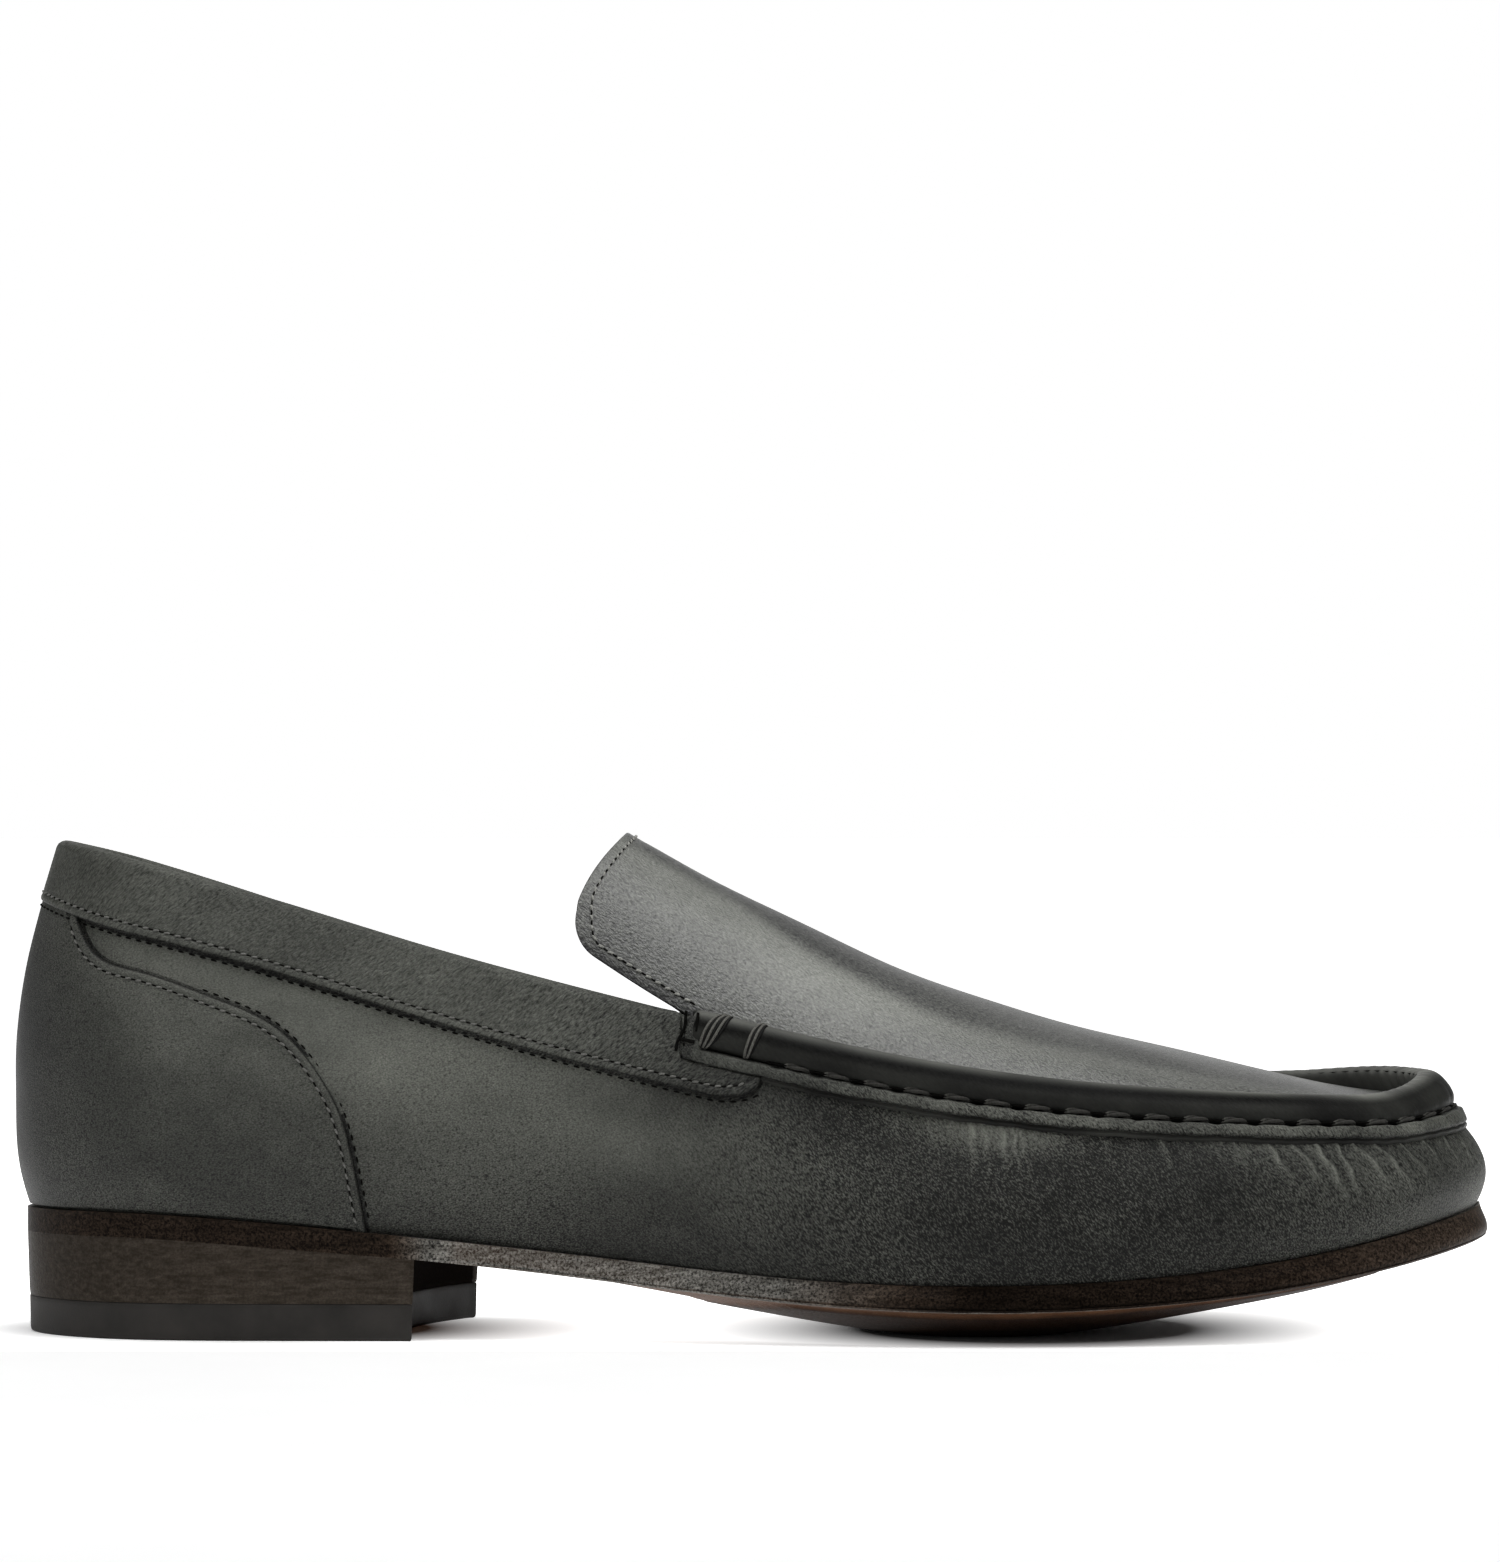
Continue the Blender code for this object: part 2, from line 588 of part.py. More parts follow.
def insole_ring(row):
    """The footbed with its lift, cut across: it fills the upper's inside and rises towards the heel."""
    rows = row, other_side(row) % ROUND
    foot = [section(float(r))[0] for r in rows]
    thick = INSOLE + HEEL_LIFT * (1 - smooth_step(*LIFT_RUN, (foot[0][0] + foot[1][0]) / 2))
    inset = WALL + INSOLE_ROOM
    sides = []
    for r in rows:
        _, _, profile = section(float(r))
        height = profile(1)[1] - profile(0)[1]
        edge = max(thick - INSOLE_EDGE[0], INSOLE_EDGE[1]) / height
        sides.append([wall_point(r, share, -inset) for share in np.linspace(INSOLE_LOW, edge, 3)])
    lateral, medial = sides
    width = 1 - inset / max(np.linalg.norm(foot[1] - foot[0]) / 2, inset)
    upper, under = [], []
    for across in INSOLE_ACROSS:
        high = lateral[-1] + (medial[-1] - lateral[-1]) * (across + 1) / 2
        dip = INSOLE_BELLY_SHARE * sole_belly(high[0]) * (1 - across**2)
        upper.append([*high[:2], feather_z(high[0]) + thick - dip])
        deep = lateral[0] + (medial[0] - lateral[0]) * (across + 1) / 2
        under.append([*deep[:2], top_z(deep[0], across * width) + GAP])
    return [*lateral, *upper, *medial[::-1], *under[::-1]]


def build_insole(material):
    return loft("insole", [insole_ring(row) for row in ROWS[1:-1:2]], material)


# Assembly
for old in list(bpy.data.objects):
    bpy.data.objects.remove(old)
SHOE = bpy.data.collections.new("moccasin_toe_loafer")
bpy.context.scene.collection.children.link(SHOE)

GREY_LEATHER = leather("grey_leather", (0.075, 0.075, 0.068), 0.48)
DARK_LEATHER = leather("dark_grey_leather", (0.035, 0.035, 0.032), 0.42)
BROWN_EDGE = leather("brown_leather_edge", (0.028, 0.022, 0.018), 0.45)
LINING = leather("lining_leather", (0.045, 0.038, 0.033), 0.7)
RUBBER = leather("black_rubber", (0.022, 0.021, 0.020), 0.65)

build_outsole(BROWN_EDGE)
build_heel(BROWN_EDGE, RUBBER)
build_insole(LINING)
build_upper(GREY_LEATHER)
build_apron_seam(DARK_LEATHER)
build_collar_band(GREY_LEATHER)
build_heel_counter(GREY_LEATHER)
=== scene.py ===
"""Looks of the moccasin-toe loafer: leathers, seams, thread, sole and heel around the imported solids.

Sizes are in millimetres, +X to the toe, -Y the outer side, +Z up. MM turns them into metres.
"""
from collections import namedtuple
from math import pi, radians

import bmesh
import bpy
import numpy as np
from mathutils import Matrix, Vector


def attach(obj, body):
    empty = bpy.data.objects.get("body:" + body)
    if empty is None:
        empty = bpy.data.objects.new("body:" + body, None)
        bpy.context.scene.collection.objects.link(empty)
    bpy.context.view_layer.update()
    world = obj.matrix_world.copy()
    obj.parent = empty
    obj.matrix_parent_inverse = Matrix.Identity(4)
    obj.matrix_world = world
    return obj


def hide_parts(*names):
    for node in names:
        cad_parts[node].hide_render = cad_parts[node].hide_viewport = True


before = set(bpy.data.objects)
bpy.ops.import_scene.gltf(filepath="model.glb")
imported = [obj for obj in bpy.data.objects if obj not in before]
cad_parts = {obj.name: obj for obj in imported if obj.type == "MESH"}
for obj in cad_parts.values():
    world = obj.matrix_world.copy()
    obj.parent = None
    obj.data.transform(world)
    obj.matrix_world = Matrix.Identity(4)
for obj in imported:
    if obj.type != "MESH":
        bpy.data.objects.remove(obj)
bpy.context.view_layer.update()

MM = 0.001
BODY = "root"

# Thicknesses
LEATHER = 1.0             # outer leather; the lining under it is as thick
WALL = 2.0                # both together
GAP = 0.3                 # between the upper and what lies on it
OVERLAY = 1.1             # collar band and heel counter
TOP_PIECE = 7.4           # rubber under the heel
INSOLE = 3.0
INSOLE_ROOM = 0.4         # the footbed's edge, in from the lining
HEEL_LIFT = 18.0
LIFT_RUN = (-112.0, 26.0)  # lengths between which the lift thins out
BELLY_SHARE = 0.8         # the footbed follows the sole's belly by this share

# The last: sections round the shoe, as in the solids
LEVELS = (0.0, 0.08, 0.28, 0.65, 1.0)
Section = namedtuple("Section", "x y foot belly shoulder top top_z")
HEEL_BACK = Section(-145.2, -1.0, 1.8, 3.2, 1.0, -5.9, 99.2)
LATERAL = (
    Section(-129.0, -25.5, 1.4, 2.8, 0.8, -5.8, 96.2),
    Section(-100.0, -31.6, 1.4, 3.0, 1.0, -5.2, 89.0),
    Section(-66.0, -32.8, 1.6, 3.4, 2.0, -3.0, 78.8),
    Section(-36.0, -35.4, 1.6, 3.6, 2.8, -1.0, 70.7),
    Section(-12.0, -40.0, 1.4, 3.2, 2.2, -2.6, 64.7),
    Section(22.0, -47.0, 1.2, 2.4, -0.6, -6.8, 56.8),
    Section(58.0, -49.0, 1.0, 1.8, -2.2, -9.6, 51.2),
    Section(92.0, -43.6, 0.9, 1.5, -2.8, -10.6, 48.4),
    Section(121.0, -32.0, 0.9, 1.6, -2.4, -10.0, 47.0),
    Section(140.0, -15.6, 0.8, 1.7, -1.4, -8.4, 46.6),
)
TOE_TIP = Section(148.4, 6.5, 0.7, 1.8, -0.9, -7.4, 46.6)
MEDIAL = (
    Section(-129.0, 23.0, 1.4, 2.8, 1.0, -5.6, 95.6),
    Section(-100.0, 29.2, 1.4, 3.0, 1.6, -4.4, 87.2),
    Section(-66.0, 28.4, 2.0, 4.2, 4.2, 0.0, 75.9),
    Section(-36.0, 26.4, 2.6, 6.0, 8.0, 6.4, 67.8),
    Section(-12.0, 28.6, 2.6, 5.8, 7.8, 6.2, 62.8),
    Section(22.0, 39.6, 1.8, 3.4, 1.8, -1.8, 57.0),
    Section(58.0, 48.4, 1.2, 2.0, -1.6, -10.0, 51.9),
    Section(92.0, 47.2, 1.0, 1.6, -2.8, -12.2, 49.1),
    Section(121.0, 39.4, 0.9, 1.6, -2.4, -11.0, 47.7),
    Section(140.0, 26.0, 0.8, 1.7, -1.4, -8.6, 47.0),
)
THROAT = 5                # the row where the collar ends and the apron seam begins
TOE = len(LATERAL) + 1    # the row of the toe tip
ROUND = 2 * TOE           # rows once round the shoe

SoleStation = namedtuple("SoleStation", "x feather edge belly")
SOLE_LINE = (
    SoleStation(-146.0, 25.3, 5.0, 0.0),
    SoleStation(-122.0, 25.3, 5.0, 0.0),
    SoleStation(-98.0, 23.7, 5.0, 0.0),
    SoleStation(-66.0, 20.7, 4.5, 0.0),
    SoleStation(-30.0, 17.0, 4.6, 2.0),
    SoleStation(10.0, 13.2, 4.9, 5.4),
    SoleStation(46.0, 12.1, 5.2, 8.2),
    SoleStation(90.0, 14.5, 5.6, 5.0),
    SoleStation(120.0, 18.9, 6.1, 2.8),
    SoleStation(149.0, 25.5, 6.6, 0.0),
)
BELLY_POWER = 2.2

ProfilePoint = namedtuple("ProfilePoint", "x z")
APRON_TOP = (
    ProfilePoint(-25.0, 101.1),
    ProfilePoint(-10.0, 92.6),
    ProfilePoint(6.0, 84.7),
    ProfilePoint(30.0, 73.6),
    ProfilePoint(55.0, 64.8),
    ProfilePoint(80.0, 58.4),
    ProfilePoint(104.0, 52.8),
    ProfilePoint(122.0, 48.8),
)
APRON_ARC = radians(65)   # half of the arc that each row of the apron is bent to
ROW_AHEAD = (12.0, 4.5, 1.5, 0.5, 1.0, 1.6, 0.0)  # how far a row's top lies ahead of its ends
FLAT_TOE = (9.4, 10.4)    # rows between which the apron flattens out
APRON_OPEN = (-0.95, TOE - THROAT - 0.05)  # its rows close up at both ends: normals are taken between these
TONGUE_HALF_WIDTH = 30.5
TONGUE_LEAN = 13.0        # the tongue's end leans forward from its corners to its top
TONGUE_RISE = 19.6        # and rises that far
TONGUE_CORNER = 0.26      # share of its length that the round corner takes
TONGUE_CORNER_CUT = 0.20  # share of its half width that the corner cuts off
TONGUE_BOW = 1.2          # its end edge is bowed by this
TONGUE_BOW_END = 0.86     # as far as this share of its half width
TONGUE_WAY = np.array([-0.88, 0.0, 0.47])  # the way that the bow points
TONGUE_SEAM = (0.95, 0.93)         # its stitches run at these shares of its half width and of its length
TONGUE_SEAM_CORNER = (0.20, 0.21)  # and take its corners round over these

# Raised apron seam across: d down the wall from its top, h out from it, at the side and at the toe;
# pull: how far the thread draws a point in; pleat: its share in the pleats round the toe
RollPoint = namedtuple("RollPoint", "side_d side_h toe_d toe_h pull pleat")
ROLL = (
    RollPoint(-1.8, 0.2, -5.6, -1.0, 0.0, 1.0),
    RollPoint(-1.0, 1.4, -6.8, 0.6, 0.0, 0.8),
    RollPoint(0.7, 2.3, -5.1, 2.9, 0.0, 0.1),
    RollPoint(2.8, 2.7, -2.0, 3.5, 0.02, 0.0),
    RollPoint(4.8, 2.3, 1.0, 2.8, 0.14, 0.0),
    RollPoint(5.8, 0.7, 2.5, 1.0, 0.3, 0.0),
)
# Painted light across the roll, by the number of its point, at the side and at the toe: painted highlight on
# top, painted shade in front
ROLL_PAINTED_LIGHT = (
    (0.0, 3.4, 4.4),
    (1.0, 4.6, 6.2),
    (2.1, 4.6, 7.2),
    (2.6, 2.0, 6.2),
    (3.0, 0.5, 4.0),
    (3.35, 0.12, 1.8),
    (3.7, 0.4, 0.8),
    (4.1, 0.9, 0.9),
    (5.2, 1.1, 1.1),
    (6.0, 0.5, 0.5),
)
TOE_PAINTED_LIGHT = (8.4, 9.8)    # rows between which the one turns into the other
# The lip under the roll. sink and draw: how far the thread pulls a point down and in; rise and lean: how far
# it comes up and forward in the tab at the lip's end; wave and gather: its share in the edge's waves and
# in the folds beside the tab; the last: its tone across, lighter on its face, darker with painted shade at
# both edges
LipPoint = namedtuple("LipPoint", "side_d side_h toe_d toe_h sink draw rise lean wave gather dye")
LIP = (
    LipPoint(5.9, 0.7, 2.8, 0.8, 0.2, 0.3, 6.2, 0.06, 0.0, 0.0, 0.11),
    LipPoint(6.35, 1.55, 3.35, 1.7, 0.22, 0.25, 6.2, 0.055, 0.0, 0.5, 0.32),
    LipPoint(6.85, 1.95, 3.85, 2.1, 0.12, 0.12, 5.0, 0.045, 0.0, 1.0, 0.53),
    LipPoint(7.6, 1.95, 4.7, 1.9, 0.0, 0.03, 2.0, 0.02, 0.4, 1.0, 0.55),
    LipPoint(8.5, 1.75, 5.8, 1.5, 0.0, 0.0, 0.0, 0.0, 1.0, 0.6, 0.48),
    LipPoint(8.9, 1.45, 6.2, 1.1, 0.0, 0.0, 0.0, 0.0, 1.0, 0.0, 0.20),
    LipPoint(8.9, 0.9, 6.2, 0.5, 0.0, 0.0, 0.0, 0.0, 1.0, 0.0, 0.09),
)
SEAM_INSIDE = (2.0, 3.0)  # the roll's foot lies this far in on the apron, at the side and at the toe
SEAM_TURN = (7.6, 10.2)   # rows between which the seam turns from side to toe, on the inner side
SEAM_TURN_OUTER = (9.3, 10.85)
PLEATS = (0.28, 3.1)      # depth and pitch of the pleats round the toe
PULL_REACH = 1.3          # half length of the dent at each of the thread's holes
PULL_UP = 0.4             # share of the pull that also lifts the roll
ROLL_END = 0.09           # rows over which the roll's ends are rounded off
LIP_END = 0.1             # and the lip's
LIP_START = 4.90          # row where the lip's free end lies
LIP_TAB = (4.98, 5.08)    # there it curls up round the end of the roll
TAB_FOLDS = (0.16, 2.6)   # depth and pitch of the folds beside the tab
TAB_STITCHES = 4.965
TAB_GAP_SHADE = 5.035           # painted shade: a dark tube in the gap between the tab and the roll's end
TAB_FOOT_SHADE = 5.3            # painted shade: a dark tube in the gap under the tab, down the wall
# Painted shade in the gaps beside the tab: dark tubes by row, lean, out and lowest point
TabGapShade = namedtuple("TabGapShade", "row lean out low")
TAB_GAP_SHADES = (
    TabGapShade(LIP_START, 0.06, 1.35, 7.8),
    TabGapShade(TAB_GAP_SHADE, 0.01, 2.2, 3.2),
)
LIP_WEAR = ((0.16, 37.0), (0.14, 10.3))  # depth and pitch of the lighter places along the lip
UNDERLAY = (0.85, 0.75)   # edge of the vamp's fold under the lip, dark with painted shadow: how far it shows, and how far it stands out
STITCH_LINE = (5.6, 2.5)  # where the apron's thread runs, down the wall, at the side and at the toe
STITCH_ARCH = (2.05, 1.5)   # how far its stitches stand out there
STITCH_SPAN = (0.10, 0.90)  # shares of a pitch between which a stitch shows
FIRST_STITCH = 18.0       # the thread starts this far along the seam
APRON_PITCH = 8.0
THREAD = 0.42             # radius of one of the thread's two strands
THREAD_TWIST = 0.7        # turns of its strands in one stitch
THREAD_GAP = (2.2, 0.20)  # half length and radius of the dark gap between two stitches
Wrap = namedtuple("Wrap", "foot_x top_x strands spacing radius")
WRAPS = (
    Wrap(-9.6, -5.0, 5, 0.58, 0.30),
    Wrap(-1.2, 2.0, 3, 0.50, 0.30),
)
WRAP_PAINTED_LIGHT = (5.5, 0.15)  # painted highlight on its light strands and painted shade on the dark ones between them

# Collar band and heel counter
BAND_BACK = 12.6          # width of the band at the back
BAND_SIDE = 14.8          # and along the sides
BAND_WIDENS = (0.0, 1.2)  # rows between which it widens
BAND_DIP = (4.90, 4.945)  # rows between which its top edge goes down under the lip
BAND_END = 5.42           # row where it runs out there
BAND_CURL = 5.10          # from here its lower edge curls up under the lip
BAND_UNDER_LIP = 8.6      # its top edge lies this far down under the lip
BAND_TIP = 0.6            # width left at its end
BAND_INSIDE = 7.0         # the band is turned over the top line and reaches down inside by this
# The band's turn over the top line, down from it and out: over the edge, down the inside and back
BAND_FOLD = (
    (1.5, 1.4), (0.75, 1.2), (0.15, 0.7), (-0.25, 0.0), (-0.4, -0.7), (-0.25, -1.4), (0.15, -2.0),
    (0.9, -2.4), (2.5, -2.6), (BAND_INSIDE - 0.5, -2.6), (BAND_INSIDE, -2.3), (BAND_INSIDE, -1.6),
    (1.2, -1.5), (0.8, -0.6), (1.6, 0.15))
# Tone of the band along the shoe, with painted shade at the heel's back, and of the painted shadow line under
# its lower edge
BAND_TONE = ((-150.0, 0.62), (-120.0, 0.86), (-60.0, 0.92), (-25.0, 0.56), (5.0, 0.36))
BAND_SHADOW = ((-140.0, 0.06), (-70.0, 0.08), (-45.0, 0.30), (-10.0, 0.42))
CounterPoint = namedtuple("CounterPoint", "row height")
COUNTER_EDGE = (
    CounterPoint(0.70, 0.82),
    CounterPoint(0.84, 0.75),
    CounterPoint(1.25, 0.695),
    CounterPoint(1.84, 0.655),
    CounterPoint(2.25, 0.585),
    CounterPoint(2.48, 0.45),
    CounterPoint(2.61, 0.27),
    CounterPoint(2.70, 0.00),
)
COUNTER_FOOT = 0.012              # its lower edge, as a share of the wall's height
EDGE_RIM = 0.5                    # rounding of a sewn-on leather's edge
EDGE_BEAD = (0.95, 0.5, 0.12)     # raised rim along it: distance from the edge, width and height
STITCH_SINK = (1.9, 0.35, 0.14)   # and the trough that its stitches pull in
COUNTER_DYE = 0.86                # the counter is dyed a little darker
# Darkness of the painted shadow line along the counter's edge, by shares of its length
COUNTER_SHADOW = ((0.0, 0.06), (0.1, 0.1), (0.2, 0.5), (0.4, 0.45), (0.65, 0.12), (1.0, 0.06))
EDGE_STRIP = 2.7                  # width of the strip that carries them on the counter
STITCH_OUTSIDE = 0.8              # the second stitch row lies this far outside the edge
EDGE_SHADOW_LINE = 0.55                  # painted shadow: a dark line on the leather below, along the edge
FINE_PITCH = 2.3
TAB_PITCH = 1.3
FINE_THREAD = 0.24
NEEDLE_SLOT = 0.22                # radius of the dark slot at each stitch: the needle hole with its painted shadow

# Heel and sole
BREAST_LATERAL = -66.7    # the breast's corner on the outer side
BREAST_MEDIAL = -56.5     # and on the inner
BREAST_HOLLOW = 7.0       # how far the breast curves in
SOLE_REACH = 1.7          # the outsole stands out from the feather line
EDGE_FLARE = 0.5          # the forepart's edge swells by this
FLARE_RUN = 40.0          # length over which the heel's straight edge takes on that form
HEEL_TAPER = 0.6          # the heel draws in towards the floor
RUBBER_INSET = 0.45       # the rubber piece draws in by this at its top
# Swell of the sole's edge from its top down, as shares of its height and of EDGE_FLARE, and a groove in it
EDGE_BULGE = ((0.0, -2.0), (0.12, -1.5), (0.55, 0.8), (0.8, 1.1), (0.93, 0.4), (1.0, -1.0))
EDGE_GROOVE = 0.875
# Tone of the sole's edge along the shoe, lighter at the waist with painted sheen
EDGE_TONE = (
    (-150.0, 0.11), (-72.0, 0.12), (-58.0, 1.2), (-18.0, 1.1), (2.0, 0.8), (20.0, 0.4), (32.0, 0.15),
    (45.0, 0.05), (100.0, 0.11), (150.0, 0.28))
SOLE_MARGIN = 4.0         # tan rim of the sole's bottom, outside the worn forepart
FOREPART = (-14.0, 128.0)  # the darker forepart runs between these lengths
FOREPART_CURVE = 26.0     # and its rear edge curves forward at the sides by this

# Creases on the vamp's wall. x: where one starts; side: -1 outer, 1 inner; down: below the wall's top;
# slope: how far it runs to the toe for each millimetre down.
Crease = namedtuple("Crease", "x side down slope length width depth")
CREASES = (
    Crease(29.0, -1, 10.5, 0.15, 8.0, 0.9, 0.16),
    Crease(44.0, -1, 10.0, 0.12, 13.0, 0.9, 0.26),
    Crease(46.4, -1, 9.8, 0.16, 14.0, 0.6, 0.24),
    Crease(50.2, -1, 9.8, 0.18, 13.0, 0.9, 0.26),
    Crease(52.0, -1, 9.6, 0.22, 16.0, 0.6, 0.26),
    Crease(53.6, -1, 9.6, 0.24, 18.0, 0.6, 0.26),
    Crease(71.0, -1, 9.6, 0.30, 9.0, 0.9, 0.16),
    Crease(83.0, -1, 9.4, 0.35, 9.0, 0.9, 0.16),
    Crease(97.0, -1, 9.0, 0.55, 11.0, 1.0, 0.20),
    Crease(104.0, -1, 8.8, 0.70, 13.0, 1.0, 0.26),
    Crease(109.0, -1, 8.6, 0.85, 14.0, 1.0, 0.34),
    Crease(114.0, -1, 8.4, 0.60, 18.0, 1.1, 0.46),
    Crease(118.5, -1, 8.4, 0.36, 17.0, 0.8, 0.42),
    Crease(121.5, -1, 8.2, 1.00, 14.0, 0.9, 0.34),
    Crease(126.0, -1, 8.0, 0.95, 15.0, 1.0, 0.36),
    Crease(131.0, -1, 8.0, 0.95, 14.0, 0.9, 0.32),
    Crease(137.0, -1, 7.8, 0.60, 11.0, 0.9, 0.24),
    Crease(142.0, -1, 7.8, 0.25, 9.0, 0.8, 0.22),
    Crease(145.5, -1, 7.8, 0.05, 9.0, 0.8, 0.22),
    Crease(44.0, 1, 10.0, 0.15, 12.0, 0.9, 0.36),
    Crease(50.0, 1, 9.8, 0.22, 14.0, 0.8, 0.40),
    Crease(68.0, 1, 9.6, 0.30, 9.0, 0.9, 0.18),
    Crease(92.0, 1, 9.0, 0.45, 11.0, 1.0, 0.22),
    Crease(107.0, 1, 8.6, 0.60, 14.0, 1.0, 0.32),
    Crease(114.0, 1, 8.4, 0.70, 16.0, 1.0, 0.42),
    Crease(121.0, 1, 8.2, 0.75, 14.0, 0.9, 0.34),
    Crease(128.0, 1, 8.0, 0.80, 13.0, 0.9, 0.34),
    Crease(135.0, 1, 7.8, 0.60, 12.0, 0.9, 0.26),
    Crease(142.0, 1, 7.8, 0.30, 9.0, 0.8, 0.22),
)
GATHERS = 64              # finer folds between them, round the toe
CALM_FOOT = 0.12          # share of the wall's height, at its foot, where its relief fades out
TROUGH_SHADE = 2.0          # how much painted shade darkens a crease's trough
RIDGE_WEAR_AND_HIGHLIGHT = 1.3           # and how much lighter its ridge is, partly with wear, partly with painted highlight

# Patches of the wall that are lighter, or darker.
# wide and high: their half sizes; the last: what they add to the mark
Patch = namedtuple("Patch", "x side down wide high dye")
PATCHES = (
    Patch(47.0, -1, 10.6, 14.0, 4.3, 0.95),
    Patch(-20.0, -1, 29.0, 20.0, 7.0, 0.22),
    Patch(68.0, -1, 30.0, 5.0, 4.0, 0.12),
    Patch(76.0, -1, 14.0, 4.0, 4.0, 0.10),
    Patch(18.0, -1, 14.0, 12.0, 5.0, -0.14),
    Patch(122.0, -1, 16.0, 12.0, 6.0, 0.14),
    Patch(104.0, -1, 10.0, 16.0, 3.4, 0.32),
    Patch(-88.0, -1, 26.0, 16.0, 8.0, 0.18),
    Patch(44.0, 1, 12.0, 13.0, 4.5, 0.30),
    Patch(120.0, 1, 16.0, 12.0, 6.0, 0.14),
)

# Burnish of the upper's wall along the shoe, as a share of its leather's colour, near its top and near the
# sole
# Painted shade makes it darker near the sole on the quarters, and at the heel's back
BurnishAndShade = namedtuple("BurnishAndShade", "x high low")
BURNISH_AND_SHADE = (
    BurnishAndShade(-150.0, -0.05, 0.05),
    BurnishAndShade(-125.0, 0.86, 0.32),
    BurnishAndShade(-80.0, 1.12, 0.30),
    BurnishAndShade(-30.0, 0.80, 0.14),
    BurnishAndShade(-5.0, 0.50, 0.18),
    BurnishAndShade(20.0, 0.22, 0.17),
    BurnishAndShade(40.0, 0.03, 0.12),
    BurnishAndShade(75.0, -0.02, 0.09),
    BurnishAndShade(100.0, 0.10, 0.17),
    BurnishAndShade(125.0, 0.26, 0.27),
    BurnishAndShade(152.0, 0.36, 0.33),
)

# Painted light on the plug along the shoe. light: painted highlight on its flanks; crown: the share of that
# on its crown, which painted shade darkens; edge: the share of its half width where the crown ends; fall:
# what painted shade takes off its flanks towards the seam
PlugTone = namedtuple("PlugTone", "x light crown edge fall")
PLUG_TONES = (
    PlugTone(-30.0, 1.30, 0.34, 0.24, 0.6),
    PlugTone(-18.0, 1.75, 0.22, 0.25, 0.6),
    PlugTone(-5.0, 1.75, 0.22, 0.25, 0.55),
    PlugTone(10.0, 2.05, 0.13, 0.41, 0.45),
    PlugTone(20.0, 2.05, 0.15, 0.47, 0.45),
    PlugTone(40.0, 1.60, 0.28, 0.58, 0.4),
    PlugTone(70.0, 1.45, 0.40, 0.58, 0.4),
    PlugTone(110.0, 0.85, 0.56, 0.66, 0.4),
)

# Camera: where the photograph was taken from, and its frame
PHOTO_SIZE = (1500, 1562)
CAMERA_DISTANCE = 1440.0
CAMERA_HEIGHT = 111.5
PHOTO_SCALE = 0.2037      # millimetres of the shoe's middle plane for each pixel
SENSOR = 36.0

# Studio, in metres. The floor glows with painted light, except in front of the shoe and in spots that keep
# its shadows:
# the middle and half sizes of those under the ball and the heel
FLOOR_HALF = 12.0
FLOOR_SHADOWS = (
    ((0.056, 0.0, 0.0), (0.042, 0.046, 1.0)),
    ((-0.103, 0.0, 0.0), (0.047, 0.037, 1.0)),
)
Softbox = namedtuple("Softbox", "name place target size power")
SOFTBOXES = (
    Softbox("overhead_softbox", (0.05, -0.18, 1.15), (0.03, -0.06, 0.05), (1.5, 0.95), 19.0),
    Softbox("front_left_softbox", (-0.85, -1.5, 0.55), (0.0, 0.0, 0.05), (0.6, 0.8), 3.0),
    Softbox("toe_softbox", (1.3, -0.35, 0.5), (0.1, 0.0, 0.04), (0.4, 0.6), 1.5),
)
# The background's strength turns from dim to full between two shares of the way to +Y
BACKDROP = (0.86, 0.95, 0.07, 1.0)

STEP = 1e-3
SHARP_ANGLE = radians(48)
random = np.random.default_rng(7)


# Curves and the shoe's own surface
def spline(knots, values, closed=False):
    """The smooth curve through values at knots; a closed one ends with its first row again."""
    t = np.asarray(knots, float)
    p = np.asarray(values, float).reshape(len(t), -1)
    h = np.diff(t)
    slope = np.diff(p, axis=0) / h[:, None]
    last = len(t) - 1
    system = np.eye(last + 1)
    right = np.zeros_like(p)
    for i in range(1, last):
        system[i, i - 1:i + 2] = h[i - 1], 2 * (h[i - 1] + h[i]), h[i]
        right[i] = 6 * (slope[i] - slope[i - 1])
    if closed:
        system[0, [0, 1, last - 1]] = 2 * (h[-1] + h[0]), h[0], h[-1]
        right[0] = 6 * (slope[0] - slope[-1])
        system[last, 0] = -1
    bend = np.linalg.solve(system, right)

    def at(x):
        x = np.asarray(x, float)
        i = np.clip(np.searchsorted(t, x, side="right") - 1, 0, last - 1)
        a = ((t[i + 1] - x) / h[i])[..., None]
        b = 1 - a
        square = h[i][..., None]**2 / 6
        return a * p[i] + b * p[i + 1] + ((a**3 - a) * bend[i] + (b**3 - b) * bend[i + 1]) * square

    return at


def smooth_step(low, high, x):
    t = np.clip((x - low) / (high - low), 0, 1)
    return t * t * (3 - 2 * t)


def hill(x, middle, width):
    return np.exp(-((x - middle) / width)**2)


def rounded(x):
    """Rises from 0 to 1 as a quarter circle."""
    return np.sqrt(1 - (1 - np.clip(x, 0, 1))**2)


def steps_to(start, *runs):
    """Places from a start on, for runs of an end and a number of steps to it."""
    parts = [[start]]
    for end, count in runs:
        parts.append(np.linspace(parts[-1][-1], end, count + 1)[1:])
    return np.concatenate(parts)


def table_at(x, table):
    """Values between the rows of a table of places and values."""
    return np.interp(x, *np.array(table).T)


